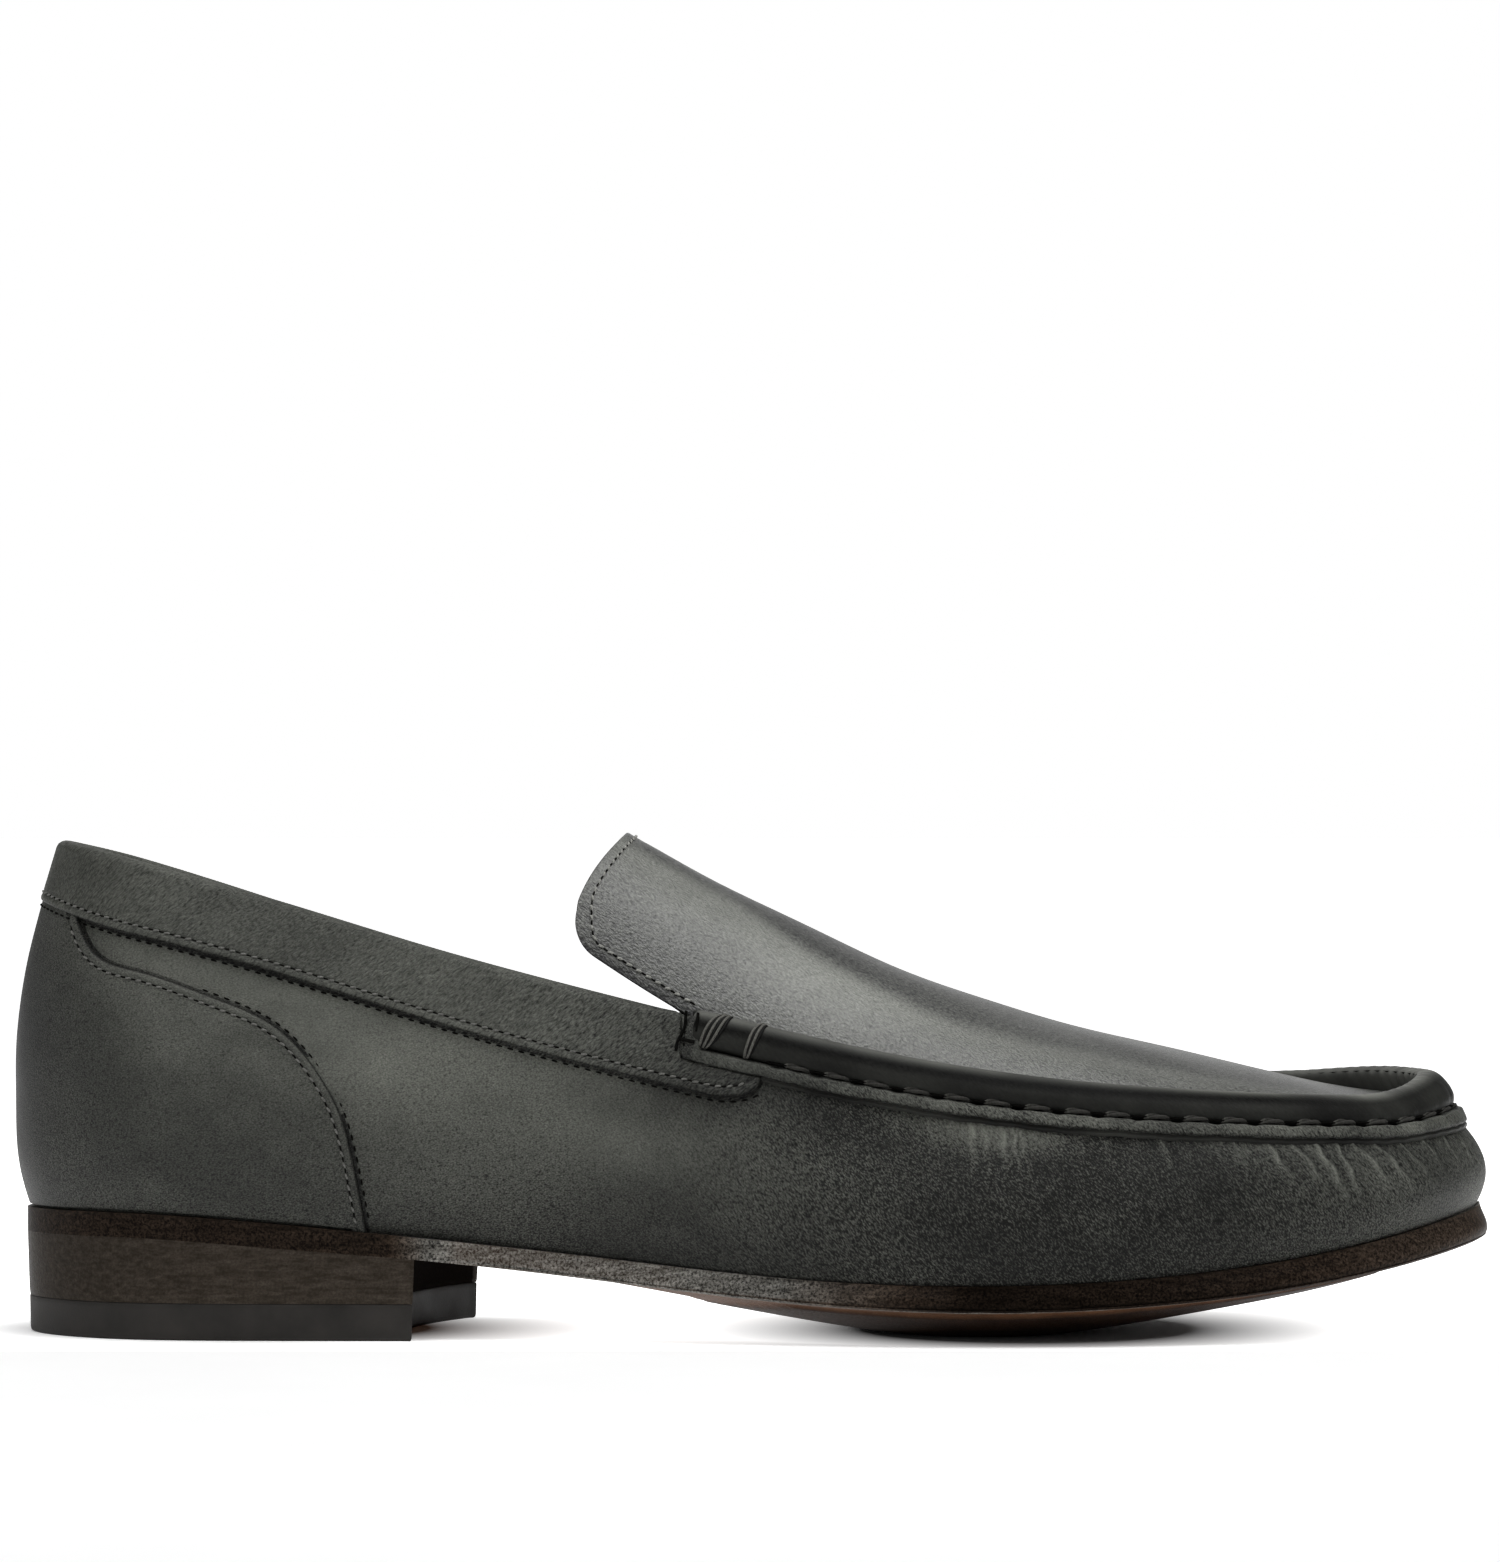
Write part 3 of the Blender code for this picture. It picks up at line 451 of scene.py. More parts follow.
def arrays(*values):
    return np.broadcast_arrays(*[np.asarray(v, float) for v in values])


def lengths(points):
    """How far along a line each of its points lies."""
    return np.concatenate([[0], np.cumsum(np.linalg.norm(np.diff(points, axis=0), axis=1))])


def ripple(length, pitch):
    return np.sin(length * 2 * pi / pitch)


def unit(vector):
    return vector / np.linalg.norm(vector, axis=-1, keepdims=True)


def with_z(flat, z):
    return np.concatenate([flat, np.broadcast_to(z, flat.shape[:-1])[..., None]], -1)


def mix(a, b, share):
    return a + (b - a) * share


LOOP = np.array([HEEL_BACK, *LATERAL, TOE_TIP, *reversed(MEDIAL), HEEL_BACK])
CHORDS = lengths(LOOP[:, :2])
loop_at = spline(CHORDS, LOOP, closed=True)
level_weights = spline(LEVELS, np.eye(len(LEVELS)))
sole_line_at = spline([s.x for s in SOLE_LINE], [s[1:] for s in SOLE_LINE])


def feather_z(x):
    return sole_line_at(x)[..., 0]


def sole_edge(x):
    return sole_line_at(x)[..., 1]


def sole_belly(x):
    return np.maximum(sole_line_at(x)[..., 2], 0)


def nearest(row):
    """The same row counted from the heel on whichever side is shorter."""
    row = np.asarray(row, float) % ROUND
    return np.minimum(row, ROUND - row)


def arc(row):
    """Length along the feather line from the heel's back."""
    row = np.asarray(row, float)
    return CHORDS[-1] * np.floor(row / ROUND) + np.interp(row % ROUND, np.arange(ROUND + 1), CHORDS)


def row_of(length):
    length = np.asarray(length, float)
    turns = np.floor(length / CHORDS[-1])
    return ROUND * turns + np.interp(length - turns * CHORDS[-1], CHORDS, np.arange(ROUND + 1))


def plan(row):
    """The feather line's point in plan, the way out from it, and the section's other sizes."""
    t = arc(np.asarray(row, float) % ROUND)
    s = loop_at(t)
    along = unit((loop_at((t + STEP) % CHORDS[-1]) - loop_at((t - STEP) % CHORDS[-1]))[..., :2])
    return s[..., :2], np.stack([along[..., 1], -along[..., 0]], -1), s[..., 2:]


def wall_frame(row, share):
    """Points of the upper's wall with their outward normals and upward tangents."""
    row, share = arrays(row, share)
    foot, outward, sizes = plan(row)
    low = feather_z(foot[..., 0])
    height = sizes[..., 4] - low
    reach = np.concatenate([np.zeros_like(low)[..., None], sizes[..., :4]], -1)
    out = (level_weights(share) * reach).sum(-1)
    d_out = ((level_weights(share + STEP) - level_weights(share - STEP)) * reach).sum(-1) / (2 * STEP)
    size = np.hypot(d_out, height)
    point = with_z(foot + outward * out[..., None], low + share * height)
    normal = with_z(outward * (height / size)[..., None], -d_out / size)
    return point, normal, with_z(outward * (d_out / size)[..., None], height / size)


def wall_point(row, share, out=0.0):
    point, normal, _ = wall_frame(row, share)
    return point + normal * np.asarray(out, float)[..., None]


LENGTH_ROWS = np.linspace(0, ROUND, 20 * ROUND + 1)
UPPER_SHARES = np.linspace(0.4, 1, 13)
WALL_LENGTHS = np.linalg.norm(
    np.diff(wall_point(LENGTH_ROWS[:, None], UPPER_SHARES), axis=1), axis=-1).sum(1) / np.ptp(UPPER_SHARES)


def wall_length(row):
    return np.interp(np.asarray(row, float) % ROUND, LENGTH_ROWS, WALL_LENGTHS)


def wall_down(row, down, out):
    """Points that lie down from the wall's top, along the wall, and out from it."""
    row, down, out = arrays(row, down, out)
    point, normal, up = wall_frame(row, 1 - np.maximum(down, 0) / wall_length(row))
    return point - up * np.minimum(down, 0)[..., None] + normal * out[..., None]


def wall_normal(row, down):
    return wall_frame(row, 1 - np.maximum(down, 0) / wall_length(row))[1]


TOE_TOP = wall_point(TOE, 1.0)
apron_top_z = spline([*[p.x for p in APRON_TOP], TOE_TOP[0]], [*[p.z for p in APRON_TOP], TOE_TOP[2]])
row_ahead = spline(range(TOE - THROAT + 1), ROW_AHEAD)


def apron_row(along):
    """Chord middle, half chord and crown of a row, and the share of its half width that is there."""
    along = np.asarray(along, float)
    row = THROAT + np.maximum(along, 0)
    lateral, medial = wall_point(row, 1.0), wall_point(ROUND - row, 1.0)
    middle, half = (lateral + medial) / 2, (medial - lateral) / 2
    top_x = middle[..., 0] + np.minimum(row_ahead(row - THROAT)[..., 0], (TOE_TOP[0] - middle[..., 0]) / 2)
    top = np.stack([top_x, middle[..., 1], apron_top_z(top_x)[..., 0]], -1)
    back = np.maximum(-along, 0)
    corner = np.clip((back - 1 + TONGUE_CORNER) / TONGUE_CORNER, 0, 1)
    share = 1 - TONGUE_CORNER_CUT * (1 - np.sqrt(1 - corner**2))
    tongue_x = mix(top_x, APRON_TOP[0].x, back)
    tongue_top = np.stack([tongue_x, top[..., 1] * (1 - back), apron_top_z(tongue_x)[..., 0]], -1)
    back = back[..., None]
    crown = mix(top - middle, np.array([TONGUE_LEAN, 0, TONGUE_RISE]), back)
    half = mix(half, np.array([0, TONGUE_HALF_WIDTH, 0]), back)
    return tongue_top - crown, half, crown, share


def apron_point(along, across):
    along, across = arrays(along, across)
    middle, half, crown, share = apron_row(along)
    angle = across * share * APRON_ARC
    rise = (np.cos(angle) - np.cos(APRON_ARC)) / (1 - np.cos(APRON_ARC))
    aside = np.minimum(np.abs(across) * share / TONGUE_BOW_END, 1)**2
    bow = TONGUE_BOW * np.maximum(-along, 0)**2 * 4 * aside * (1 - aside)
    skin = middle + half * (np.sin(angle) / np.sin(APRON_ARC))[..., None] + crown * rise[..., None]
    return skin + bow[..., None] * TONGUE_WAY


def apron_normal(along, across):
    along, across = arrays(along, across)
    along = np.clip(along, *APRON_OPEN)
    forward = apron_point(along + STEP, across) - apron_point(along - STEP, across)
    near, far = np.maximum(across - STEP, -1), np.minimum(across + STEP, 1)
    return unit(np.cross(forward, apron_point(along, far) - apron_point(along, near)))


def lid_normal(row):
    """The apron's normal at its seam; near the toe, where its rows close up, that of its flat middle."""
    row = np.asarray(row, float)
    side = np.where(row <= TOE, -1, 1)
    near = nearest(row)
    return apron_normal(near - THROAT, side * (1 - smooth_step(*FLAT_TOE, near)))


def on_side(rows, side):
    """Rows of the outer side, -1, or the same ones on the inner side, 1."""
    return rows if side < 0 else ROUND - rows


def row_at(x, side):
    """The row where the feather line passes a length x on one side: -1 outer, 1 inner."""
    rows = np.linspace(0, TOE, 441)
    return on_side(np.interp(x, plan(on_side(rows, side))[0][:, 0], rows), side)


# Meshes
class Form:
    """Points and faces of one piece, with marks: numbers that its material reads at each point."""

    def __init__(self):
        self.points, self.quads, self.caps, self.marks = [], [], [], []
        self.count = 0

    def loft(self, rings, closed=False, mark=1.0, folded=False):
        """A skin through rings of points, rows x points x 3, with its ends filled, or joined if closed.

        A folded ring runs along one face and back along the other, point over point.
        """
        rows, size = rings.shape[:2]
        index = self.count + np.arange(rows * size).reshape(rows, size)
        near, far = (index, np.roll(index, -1, 0)) if closed else (index[:-1], index[1:])
        quads = np.stack([near, np.roll(near, -1, 1), np.roll(far, -1, 1), far], -1)
        self.quads.append(quads.reshape(-1, 4))
        if folded:
            for ring in (index[0], index[-1]):
                there, back = ring[:size // 2], ring[:size // 2 - 1:-1]
                self.quads.append(np.stack([there[:-1], there[1:], back[1:], back[:-1]], -1))
        elif not closed:
            self.caps += [index[0][::-1].tolist(), index[-1].tolist()]
        self.points.append(rings.reshape(-1, 3))
        self.marks.append(np.broadcast_to(mark, (rows, size)).reshape(-1))
        self.count += rows * size
        return self

    def tubes(self, paths, normals, radii, sides=8, mark=1.0):
        """Closed tubes, one for each path; paths and normals are tubes x steps x 3."""
        tangents = unit(np.gradient(paths, axis=1))
        across = unit(np.cross(tangents, normals))
        upward = np.cross(across, tangents)
        angle = np.arange(sides) * 2 * pi / sides
        turn = np.cos(angle)[:, None] * upward[:, :, None] + np.sin(angle)[:, None] * across[:, :, None]
        rings = paths[:, :, None] + np.broadcast_to(radii, paths.shape[:2])[..., None, None] * turn
        for tube in rings:
            self.loft(tube, mark=mark)
        return self

    def piece(self, name, material, slot, *nodes):
        """The finished object: welded, facing out, smooth, riding on the shoe and standing for CAD nodes."""
        mesh = bpy.data.meshes.new(name)
        faces = [*np.concatenate(self.quads).tolist(), *self.caps]
        mesh.from_pydata((np.concatenate(self.points) * MM).tolist(), [], faces)
        # the mark holds each piece's dye together with its painted light and shade
        mark = mesh.attributes.new("dye", "FLOAT", "POINT")
        mark.data.foreach_set("value", np.concatenate(self.marks).astype(np.float32))
        maker = bmesh.new()
        maker.from_mesh(mesh)
        bmesh.ops.remove_doubles(maker, verts=maker.verts, dist=0.001 * MM)
        bmesh.ops.recalc_face_normals(maker, faces=maker.faces)
        maker.to_mesh(mesh)
        maker.free()
        mesh.shade_smooth()
        mesh.set_sharp_from_angle(angle=SHARP_ANGLE)
        mesh.materials.append(material)
        item = bpy.data.objects.new(name, mesh)
        bpy.context.scene.collection.objects.link(item)
        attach(item, BODY)
        if nodes:
            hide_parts(*nodes)
        return item


def along_line(points, normals, places):
    """Points and normals at lengths along a dense line."""
    length = lengths(points)
    both = np.concatenate([points, normals], 1)
    found = np.stack([np.interp(places, length, column) for column in both.T], -1)
    return found[..., :3], unit(found[..., 3:])


# Materials
class Look:
    """A material made of nodes; add() makes one, fills its sockets and returns an output."""

    def __init__(self, name):
        self.material = bpy.data.materials.new(name)
        self.material.use_nodes = True
        self.tree = self.material.node_tree
        self.surface = self.tree.nodes["Principled BSDF"]
        self.place = self.add("TexCoord", out="Object")

    def put(self, socket, value):
        if isinstance(value, bpy.types.NodeSocket):
            self.tree.links.new(value, socket)
        else:
            socket.default_value = value

    def add(self, kind, sockets=None, out=0, **settings):
        node = self.tree.nodes.new("ShaderNode" + kind)
        for key, value in settings.items():
            setattr(node, key, value)
        for key, value in (sockets or {}).items():
            self.put(node.inputs[key], value)
        return node.outputs[out]

    def noise(self, size, detail=3.0, roughness=0.55, place=None):
        """Soft noise with features of a size in millimetres."""
        sockets = {"Scale": 1 / (size * MM), "Detail": detail, "Roughness": roughness}
        return self.add("TexNoise", {"Vector": place or self.place, **sockets})

    def cells(self, size, place):
        return self.add("TexVoronoi", {"Vector": place, "Scale": 1 / (size * MM)})

    def math(self, operation, a, b=0.0, c=0.0):
        return self.add("Math", {0: a, 1: b, 2: c}, operation=operation)

    def ramp(self, value, low, high, to_low=0.0, to_high=1.0):
        return self.add("MapRange", {0: value, 1: low, 2: high, 3: to_low, 4: to_high})

    def blend(self, share, a, b, kind="MIX"):
        return self.add("Mix", {0: share, 6: a, 7: b}, out=2, data_type="RGBA", blend_type=kind)

    def dye(self):
        """The mark that the piece carries at each point."""
        return self.add("Attribute", out="Fac", attribute_name="dye")

    def stretched(self, angle, along):
        """Places turned in the side view by an angle and drawn out along it."""
        return self.add("Mapping", {
            "Vector": self.place, "Rotation": (0, angle, 0), "Scale": (along, 1, 1)}, vector_type="TEXTURE")

    def bump(self, height, depth, strength=1.0, under=None):
        sockets = {"Height": height, "Distance": depth * MM, "Strength": strength}
        if under:
            sockets["Normal"] = under
        return self.add("Bump", sockets)

    def finish(self, **sockets):
        for key, value in sockets.items():
            self.put(self.surface.inputs[key.replace("_", " ")], value)
        return self.material


GRAIN_MEAN = 0.31         # of a leather's grain height
REAR_GRAIN = 0.68         # share of it on the quarters and the counter
GRAIN_DRAWN = 2.8         # the grain is drawn out along its slant by this
REAR_DRAWN = 1.5          # and on the quarters and the counter by this
PEBBLES = (1.5, -0.35)    # size of its pebbles against its streaks, and how much they sink


def rgb(red, green, blue):
    return (red, green, blue, 1.0)


TAN = rgb(0.056, 0.025, 0.012), rgb(0.112, 0.054, 0.027)   # dark and light of the sole's bottom
WORN = rgb(0.010, 0.005, 0.003), rgb(0.028, 0.014, 0.008)  # and of its forepart


def leather(name, light, dark, grain=0.22, depth=0.32, tooth=2.2, angle=radians(52), rear_angle=None,
            gloss=0.5, shine=0.18, coat=0.02, cloud=22.0):
    """Dyed leather: clouds, fine slanted grain lighter on its tips, satin gloss. The mark that each piece
    carries, its dye together with painted light and shade, darkens or lightens it.
    """
    look = Look(name)
    clouds = look.noise(cloud, 2.0, 0.5, look.stretched(radians(12), 1.8))
    mottle = look.noise(5.5, 1.0, 0.5)

    def grained(drawn):
        pebble = look.cells(grain * PEBBLES[0], drawn)
        return look.math("MULTIPLY_ADD", pebble, PEBBLES[1], look.noise(grain, 2.0, 0.6, drawn))

    height = grained(look.stretched(angle, GRAIN_DRAWN))
    if rear_angle is not None:
        ahead = look.ramp(look.add("SeparateXYZ", {0: look.place}, out="X"), -0.04, 0.02)
        rear = grained(look.stretched(rear_angle, REAR_DRAWN))
        rear = look.math("MULTIPLY_ADD", rear, REAR_GRAIN, GRAIN_MEAN * (1 - REAR_GRAIN))
        height = look.add("Mix", {0: ahead, 2: rear, 3: height})
    tone = look.math("ADD", look.math("MULTIPLY", clouds, 0.85), look.math("MULTIPLY", mottle, 0.15))
    colour = look.blend(look.ramp(tone, 0.33, 0.67), dark, light)
    tips = look.math("MULTIPLY_ADD", height, tooth, look.math("SUBTRACT", look.dye(), GRAIN_MEAN * tooth))
    colour = look.blend(1.0, colour, look.math("MAXIMUM", tips, 0.02), "MULTIPLY")
    roughness = look.ramp(clouds, 0.3, 0.7, gloss - 0.05, gloss + 0.07)
    normal = look.bump(height, depth, 0.9)
    normal = look.bump(look.noise(7.0, 2.0), 0.25, 0.5, normal)
    return look.finish(
        Base_Color=colour, Roughness=roughness, Normal=normal, Specular_IOR_Level=shine, Coat_Weight=coat,
        Coat_Roughness=0.3)


def sole_leather(name, edge, sheen, drawn=12.0, speckles=(0.2, 1.9)):
    """Waxed edge of leather layers; its marks carry painted sheen and shade, and below 1 darken it. Marks up
    to 2 turn it to the bottom's tan, to 3 to the worn forepart.
    """
    look = Look(name)
    speckle = look.noise(0.5, 2.0, 0.7)
    layers = look.noise(0.9, 3.0, 0.6, look.stretched(0.0, drawn))
    blotch = look.noise(9.0, 5.0, 0.65)
    colour = look.blend(look.ramp(layers, 0.35, 0.7), edge, sheen)
    colour = look.blend(1.0, colour, look.ramp(speckle, 0.36, 0.64, *speckles), "MULTIPLY")
    tan, worn = (look.blend(look.ramp(blotch, 0.3, 0.75), *pair) for pair in (TAN, WORN))
    dye = look.dye()
    warm = look.blend(1.0, colour, rgb(1.0, 0.72, 0.56), "MULTIPLY")
    colour = look.blend(look.ramp(dye, 0.15, 0.7), warm, colour)
    colour = look.blend(look.ramp(dye, 1.0, 2.0), colour, tan)
    colour = look.blend(look.ramp(dye, 2.0, 3.0), colour, worn)
    colour = look.blend(1.0, colour, look.math("MINIMUM", dye, 1.0), "MULTIPLY")
    normal = look.bump(speckle, 0.14, 0.7)
    normal = look.bump(layers, 0.08, 0.4, normal)
    roughness = look.ramp(speckle, 0.3, 0.75, 0.34, 0.56)
    roughness = look.math("MAXIMUM", roughness, look.ramp(dye, 0.08, 0.14, 1.0, 0.0))
    return look.finish(Base_Color=colour, Roughness=roughness, Normal=normal, Specular_IOR_Level=0.03)


def rubber(name):
    look = Look(name)
    fine = look.noise(0.5, 3.0, 0.7)
    broad = look.noise(12.0, 4.0, 0.6)
    colour = look.blend(look.ramp(broad, 0.3, 0.7), rgb(0.016, 0.0146, 0.0132), rgb(0.029, 0.0264, 0.0238))
    colour = look.blend(1.0, colour, look.dye(), "MULTIPLY")
    return look.finish(
        Base_Color=colour, Roughness=look.ramp(broad, 0.3, 0.7, 0.5, 0.66), Normal=look.bump(fine, 0.08, 0.6),
        Specular_IOR_Level=0.16)


def thread(name, light, dark, shine=0.15):
    look = Look(name)
    fibre = look.noise(0.35, 2.0, 0.6)
    colour = look.blend(look.ramp(fibre, 0.3, 0.7), dark, light)
    colour = look.blend(1.0, colour, look.dye(), "MULTIPLY")
    return look.finish(Base_Color=colour, Roughness=look.ramp(fibre, 0.2, 0.8, 0.55, 0.8),
                       Normal=look.bump(fibre, 0.08, 0.7), Specular_IOR_Level=shine)


GREY = leather("charcoal_leather", rgb(0.170, 0.175, 0.152), rgb(0.078, 0.081, 0.070),
               rear_angle=radians(-12))
PEBBLED = leather("pebbled_leather", rgb(0.120, 0.124, 0.108), rgb(0.056, 0.058, 0.050),
                  grain=0.3, depth=0.42, tooth=2.0, angle=radians(-42), gloss=0.52)
APRON_LEATHER = leather("apron_leather", rgb(0.100, 0.103, 0.092), rgb(0.060, 0.062, 0.055),
                        grain=0.36, depth=0.26, tooth=3.2, gloss=0.36, shine=0.55, coat=0.14)
DARK = leather("burnished_leather", rgb(0.026, 0.0265, 0.024), rgb(0.010, 0.010, 0.0095),
               grain=0.4, depth=0.08, tooth=0.5, gloss=0.42, shine=0.03, coat=0.0, cloud=12.0)
LINING = leather("lining_leather", rgb(0.060, 0.050, 0.043), rgb(0.034, 0.029, 0.025),
                 grain=0.5, depth=0.08, tooth=0.35, gloss=0.6, coat=0.0)
SOLE_EDGE = sole_leather("waxed_sole_leather", rgb(0.076, 0.072, 0.064), rgb(0.185, 0.178, 0.162))
HEEL_EDGE = sole_leather("stacked_heel_leather", rgb(0.027, 0.0212, 0.0158), rgb(0.052, 0.0425, 0.0338),
                         drawn=5.0, speckles=(0.75, 1.2))
RUBBER = rubber("heel_rubber")
GREY_THREAD = thread("grey_thread", rgb(0.17, 0.17, 0.158), rgb(0.080, 0.080, 0.073))
DARK_THREAD = thread("dark_thread", rgb(0.024, 0.0235, 0.021), rgb(0.009, 0.009, 0.008))
HOLE_AND_SHADOW = thread("needle_hole_and_shadow", rgb(0.008, 0.008, 0.007), rgb(0.003, 0.003, 0.003), shine=0.0)


# Upper
def burnish_and_shade_at(x, share):
    """The wall's burnish at lengths along the shoe and shares of its height, with painted shade near the sole
    and at the heel's back.
    """
    low, high = (spline([b.x for b in BURNISH_AND_SHADE], [b[k] for b in BURNISH_AND_SHADE])(x)[..., 0] for k in (2, 1))
    return mix(low, high, share)


def patch_tone(length, down):
    """What the patches add to the mark."""
    total = np.zeros_like(down)
    for p in PATCHES:
        aside = length - arc(row_at(p.x, p.side))
        total += p.dye * hill(aside, 0, p.wide) * hill(down, p.down, p.high)
    return total


def folds(length, down):
    """Relief of the vamp's wall: main creases, then finer gathers between them under the seam."""
    finer = []
    for x in random.uniform(14, 147, GATHERS):
        toward_toe = smooth_step(40, 125, x)
        finer.append(Crease(
            x=x, side=random.choice((-1, 1)), down=9.0 + random.uniform(-1, 1),
            slope=random.uniform(0.1, 0.3) + 0.6 * toward_toe, length=random.uniform(4, 9) + 4 * toward_toe,
            width=random.uniform(0.5, 0.9), depth=random.uniform(0.03, 0.1) + 0.09 * toward_toe))
    relief = np.zeros_like(down)
    for c in (*CREASES, *finer):
        below = down - c.down
        run = np.clip(below / c.length, 0, 1)
        path = c.slope * below * (1 - 0.45 * run) + 0.3 * np.sin(1.1 * below + 7 * c.x)
        across = (length - arc(row_at(c.x, c.side)) + c.side * path) / (c.width * (0.6 + 0.4 * run))
        there = smooth_step(-3, 1.5, below) * (1 - smooth_step(0.35, 1, below / c.length))
        shape = hill(across, c.side, 0.9) - 0.6 * hill(across, -0.7 * c.side, 0.9)
        relief += 0.85 * c.depth * there * shape
    return relief


def unevenness(length, height):
    """Soft waves that worked leather keeps."""
    relief = np.zeros(np.broadcast(length, height).shape)
    for _ in range(9):
        turn = random.uniform(0, pi)
        size = random.uniform(16, 44)
        wave = (length * np.cos(turn) + height * np.sin(turn)) * 2 * pi / size
        relief += random.uniform(0.03, 0.06) * np.sin(wave + random.uniform(0, 2 * pi))
    return relief


def build_wall():
    """Vamp and quarters outside, and the lining inside."""
    rows = steps_to(0, (THROAT, 120), (ROUND - THROAT, 820), (ROUND, 120))[:-1, None]
    shares = steps_to(0, (0.1, 10), (1, 59))
    length, tall = arc(rows), wall_length(rows)
    down = tall * (1 - shares)
    crease = folds(length, down)
    relief = (crease + unevenness(length, tall * shares)) * smooth_step(0, CALM_FOOT, shares)
    outside = wall_point(rows, shares, relief)
    inside = wall_point(rows, np.linspace(1, 0, 5), -LEATHER)
    dye = burnish_and_shade_at(outside[..., 0], shares) + patch_tone(length, down)
    # painted shade darkens the creases' troughs; their ridges are lighter with wear and painted highlight
    dye = dye * np.clip(1 + TROUGH_SHADE * crease, 0.35, 2) + RIDGE_WEAR_AND_HIGHLIGHT * np.maximum(crease, 0)
    dye = np.concatenate([dye, dye[:, [-1] * 5]], 1)
    Form().loft(np.concatenate([outside, inside], 1), closed=True, mark=dye).piece(
        "vamp_and_quarters", GREY, "grey_leather", "upper")
    rows = np.linspace(0, ROUND, 300, endpoint=False)[:, None]
    shares = np.linspace(0, 0.985, 24)
    outside, inside = wall_point(rows, shares, -LEATHER - 0.05), wall_point(rows, shares[::-1], -WALL)
    Form().loft(np.concatenate([outside, inside], 1), closed=True).piece(
        "upper_lining", LINING, "footbed_leather", "upper")


def apron_alongs(count):
    return np.concatenate([-np.cos(np.linspace(0, pi / 2, count // 3, endpoint=False)),
                           np.linspace(0, TOE - THROAT - 0.04, count - count // 3)])[:, None]


def build_apron():
    """The plug over the instep and its tongue: outer leather, then the lining under it."""
    alongs = apron_alongs(230)
    across = np.linspace(-1, 1, 121)
    outside = apron_point(alongs, across)
    normal = apron_normal(alongs, across)
    aside = np.abs(across)
    calm = smooth_step(0.08, 0.25, np.minimum(1 - aside + smooth_step(0, 0.1, alongs), 1 + alongs))
    relief = unevenness(outside[..., 0], outside[..., 1] * 1.4) * 0.6 * calm
    rim = np.minimum(smooth_step(0, 0.02, 1 - aside) + smooth_step(0, 0.06, alongs),
                     smooth_step(0, 0.012, 1 + alongs))
    rim = np.clip(rim, 0, 1)
    outside = outside + normal * (relief - 0.15 * (1 - rim))[..., None]
    inside = (apron_point(alongs, across) - normal * LEATHER)[:, ::-1]
    x, *columns = np.array(PLUG_TONES).T
    # the plug's tone is painted light: highlight on its flanks, shade on its crown and towards the seam
    light, dark, edge, fall = (np.interp(outside[..., 0], x, column) for column in columns)
    flank = 1 - fall * smooth_step(edge + 0.05, 0.95, aside)
    dye = light * mix(dark, flank, smooth_step(edge - 0.1, edge + 0.1, aside))
    cut_line = np.interp(alongs, (-1, -0.1), (0.985, 0.955))
    cut = smooth_step(cut_line, cut_line + 0.012, aside) * (1 - smooth_step(0, 0.12, alongs))
    dye = dye * mix(0.6, 1.0, rim) * (1 - 0.75 * cut)
    mark = np.concatenate([dye, np.full_like(dye, 0.2)], 1)
    Form().loft(np.concatenate([outside, inside], 1), mark=mark, folded=True).piece(
        "apron_and_tongue", APRON_LEATHER, "grey_leather", "upper")
    alongs = apron_alongs(90)
    alongs = alongs * np.where(alongs < 0, 0.992, 1)
    across = np.linspace(-0.985, 0.985, 61)
    skin, normal = apron_point(alongs, across), apron_normal(alongs, across)
    rings = np.concatenate([skin - normal * (LEATHER + 0.03), (skin - normal * WALL)[:, ::-1]], 1)
    Form().loft(rings, folded=True).piece("tongue_lining", LINING, "footbed_leather", "upper")


# Apron seam
def seam_turn(rows):
    """0 where the seam runs along the sides, 1 round the toe."""
    outer, inner = (smooth_step(*turn, nearest(rows)) for turn in (SEAM_TURN_OUTER, SEAM_TURN))
    return np.where(rows < TOE, outer, inner)


def seam_lines(rows, table):
    """Down and out of a seam profile's points at rows."""
    toe = seam_turn(rows)[:, None]
    p = np.array(table)
    return mix(p[:, 0], p[:, 2], toe), mix(p[:, 1], p[:, 3], toe)


def seam_foot(rows):
    """Where the roll stands on the apron."""
    toe = seam_turn(rows)[:, None]
    lid = lid_normal(rows)
    forward = wall_point(rows + STEP, 1.0) - wall_point(rows - STEP, 1.0)
    return wall_point(rows, 1.0) + unit(np.cross(lid, forward)) * mix(*SEAM_INSIDE, toe) - lid * 0.1


def stitch_line(rows, out=0.0):
    return wall_down(rows, mix(*STITCH_LINE, seam_turn(rows)), out)


def stitch_normal(rows):
    return wall_normal(rows, mix(*STITCH_LINE, seam_turn(rows)))


SEAM_ROWS = np.linspace(THROAT, ROUND - THROAT, 900)
SEAM_LENGTHS = lengths(stitch_line(SEAM_ROWS))
STITCHES = int((SEAM_LENGTHS[-1] - 2 * FIRST_STITCH) / APRON_PITCH)


def seam_length(rows):
    return np.interp(rows, SEAM_ROWS, SEAM_LENGTHS)


def seam_row(length):
    return np.interp(length, SEAM_LENGTHS, SEAM_ROWS)


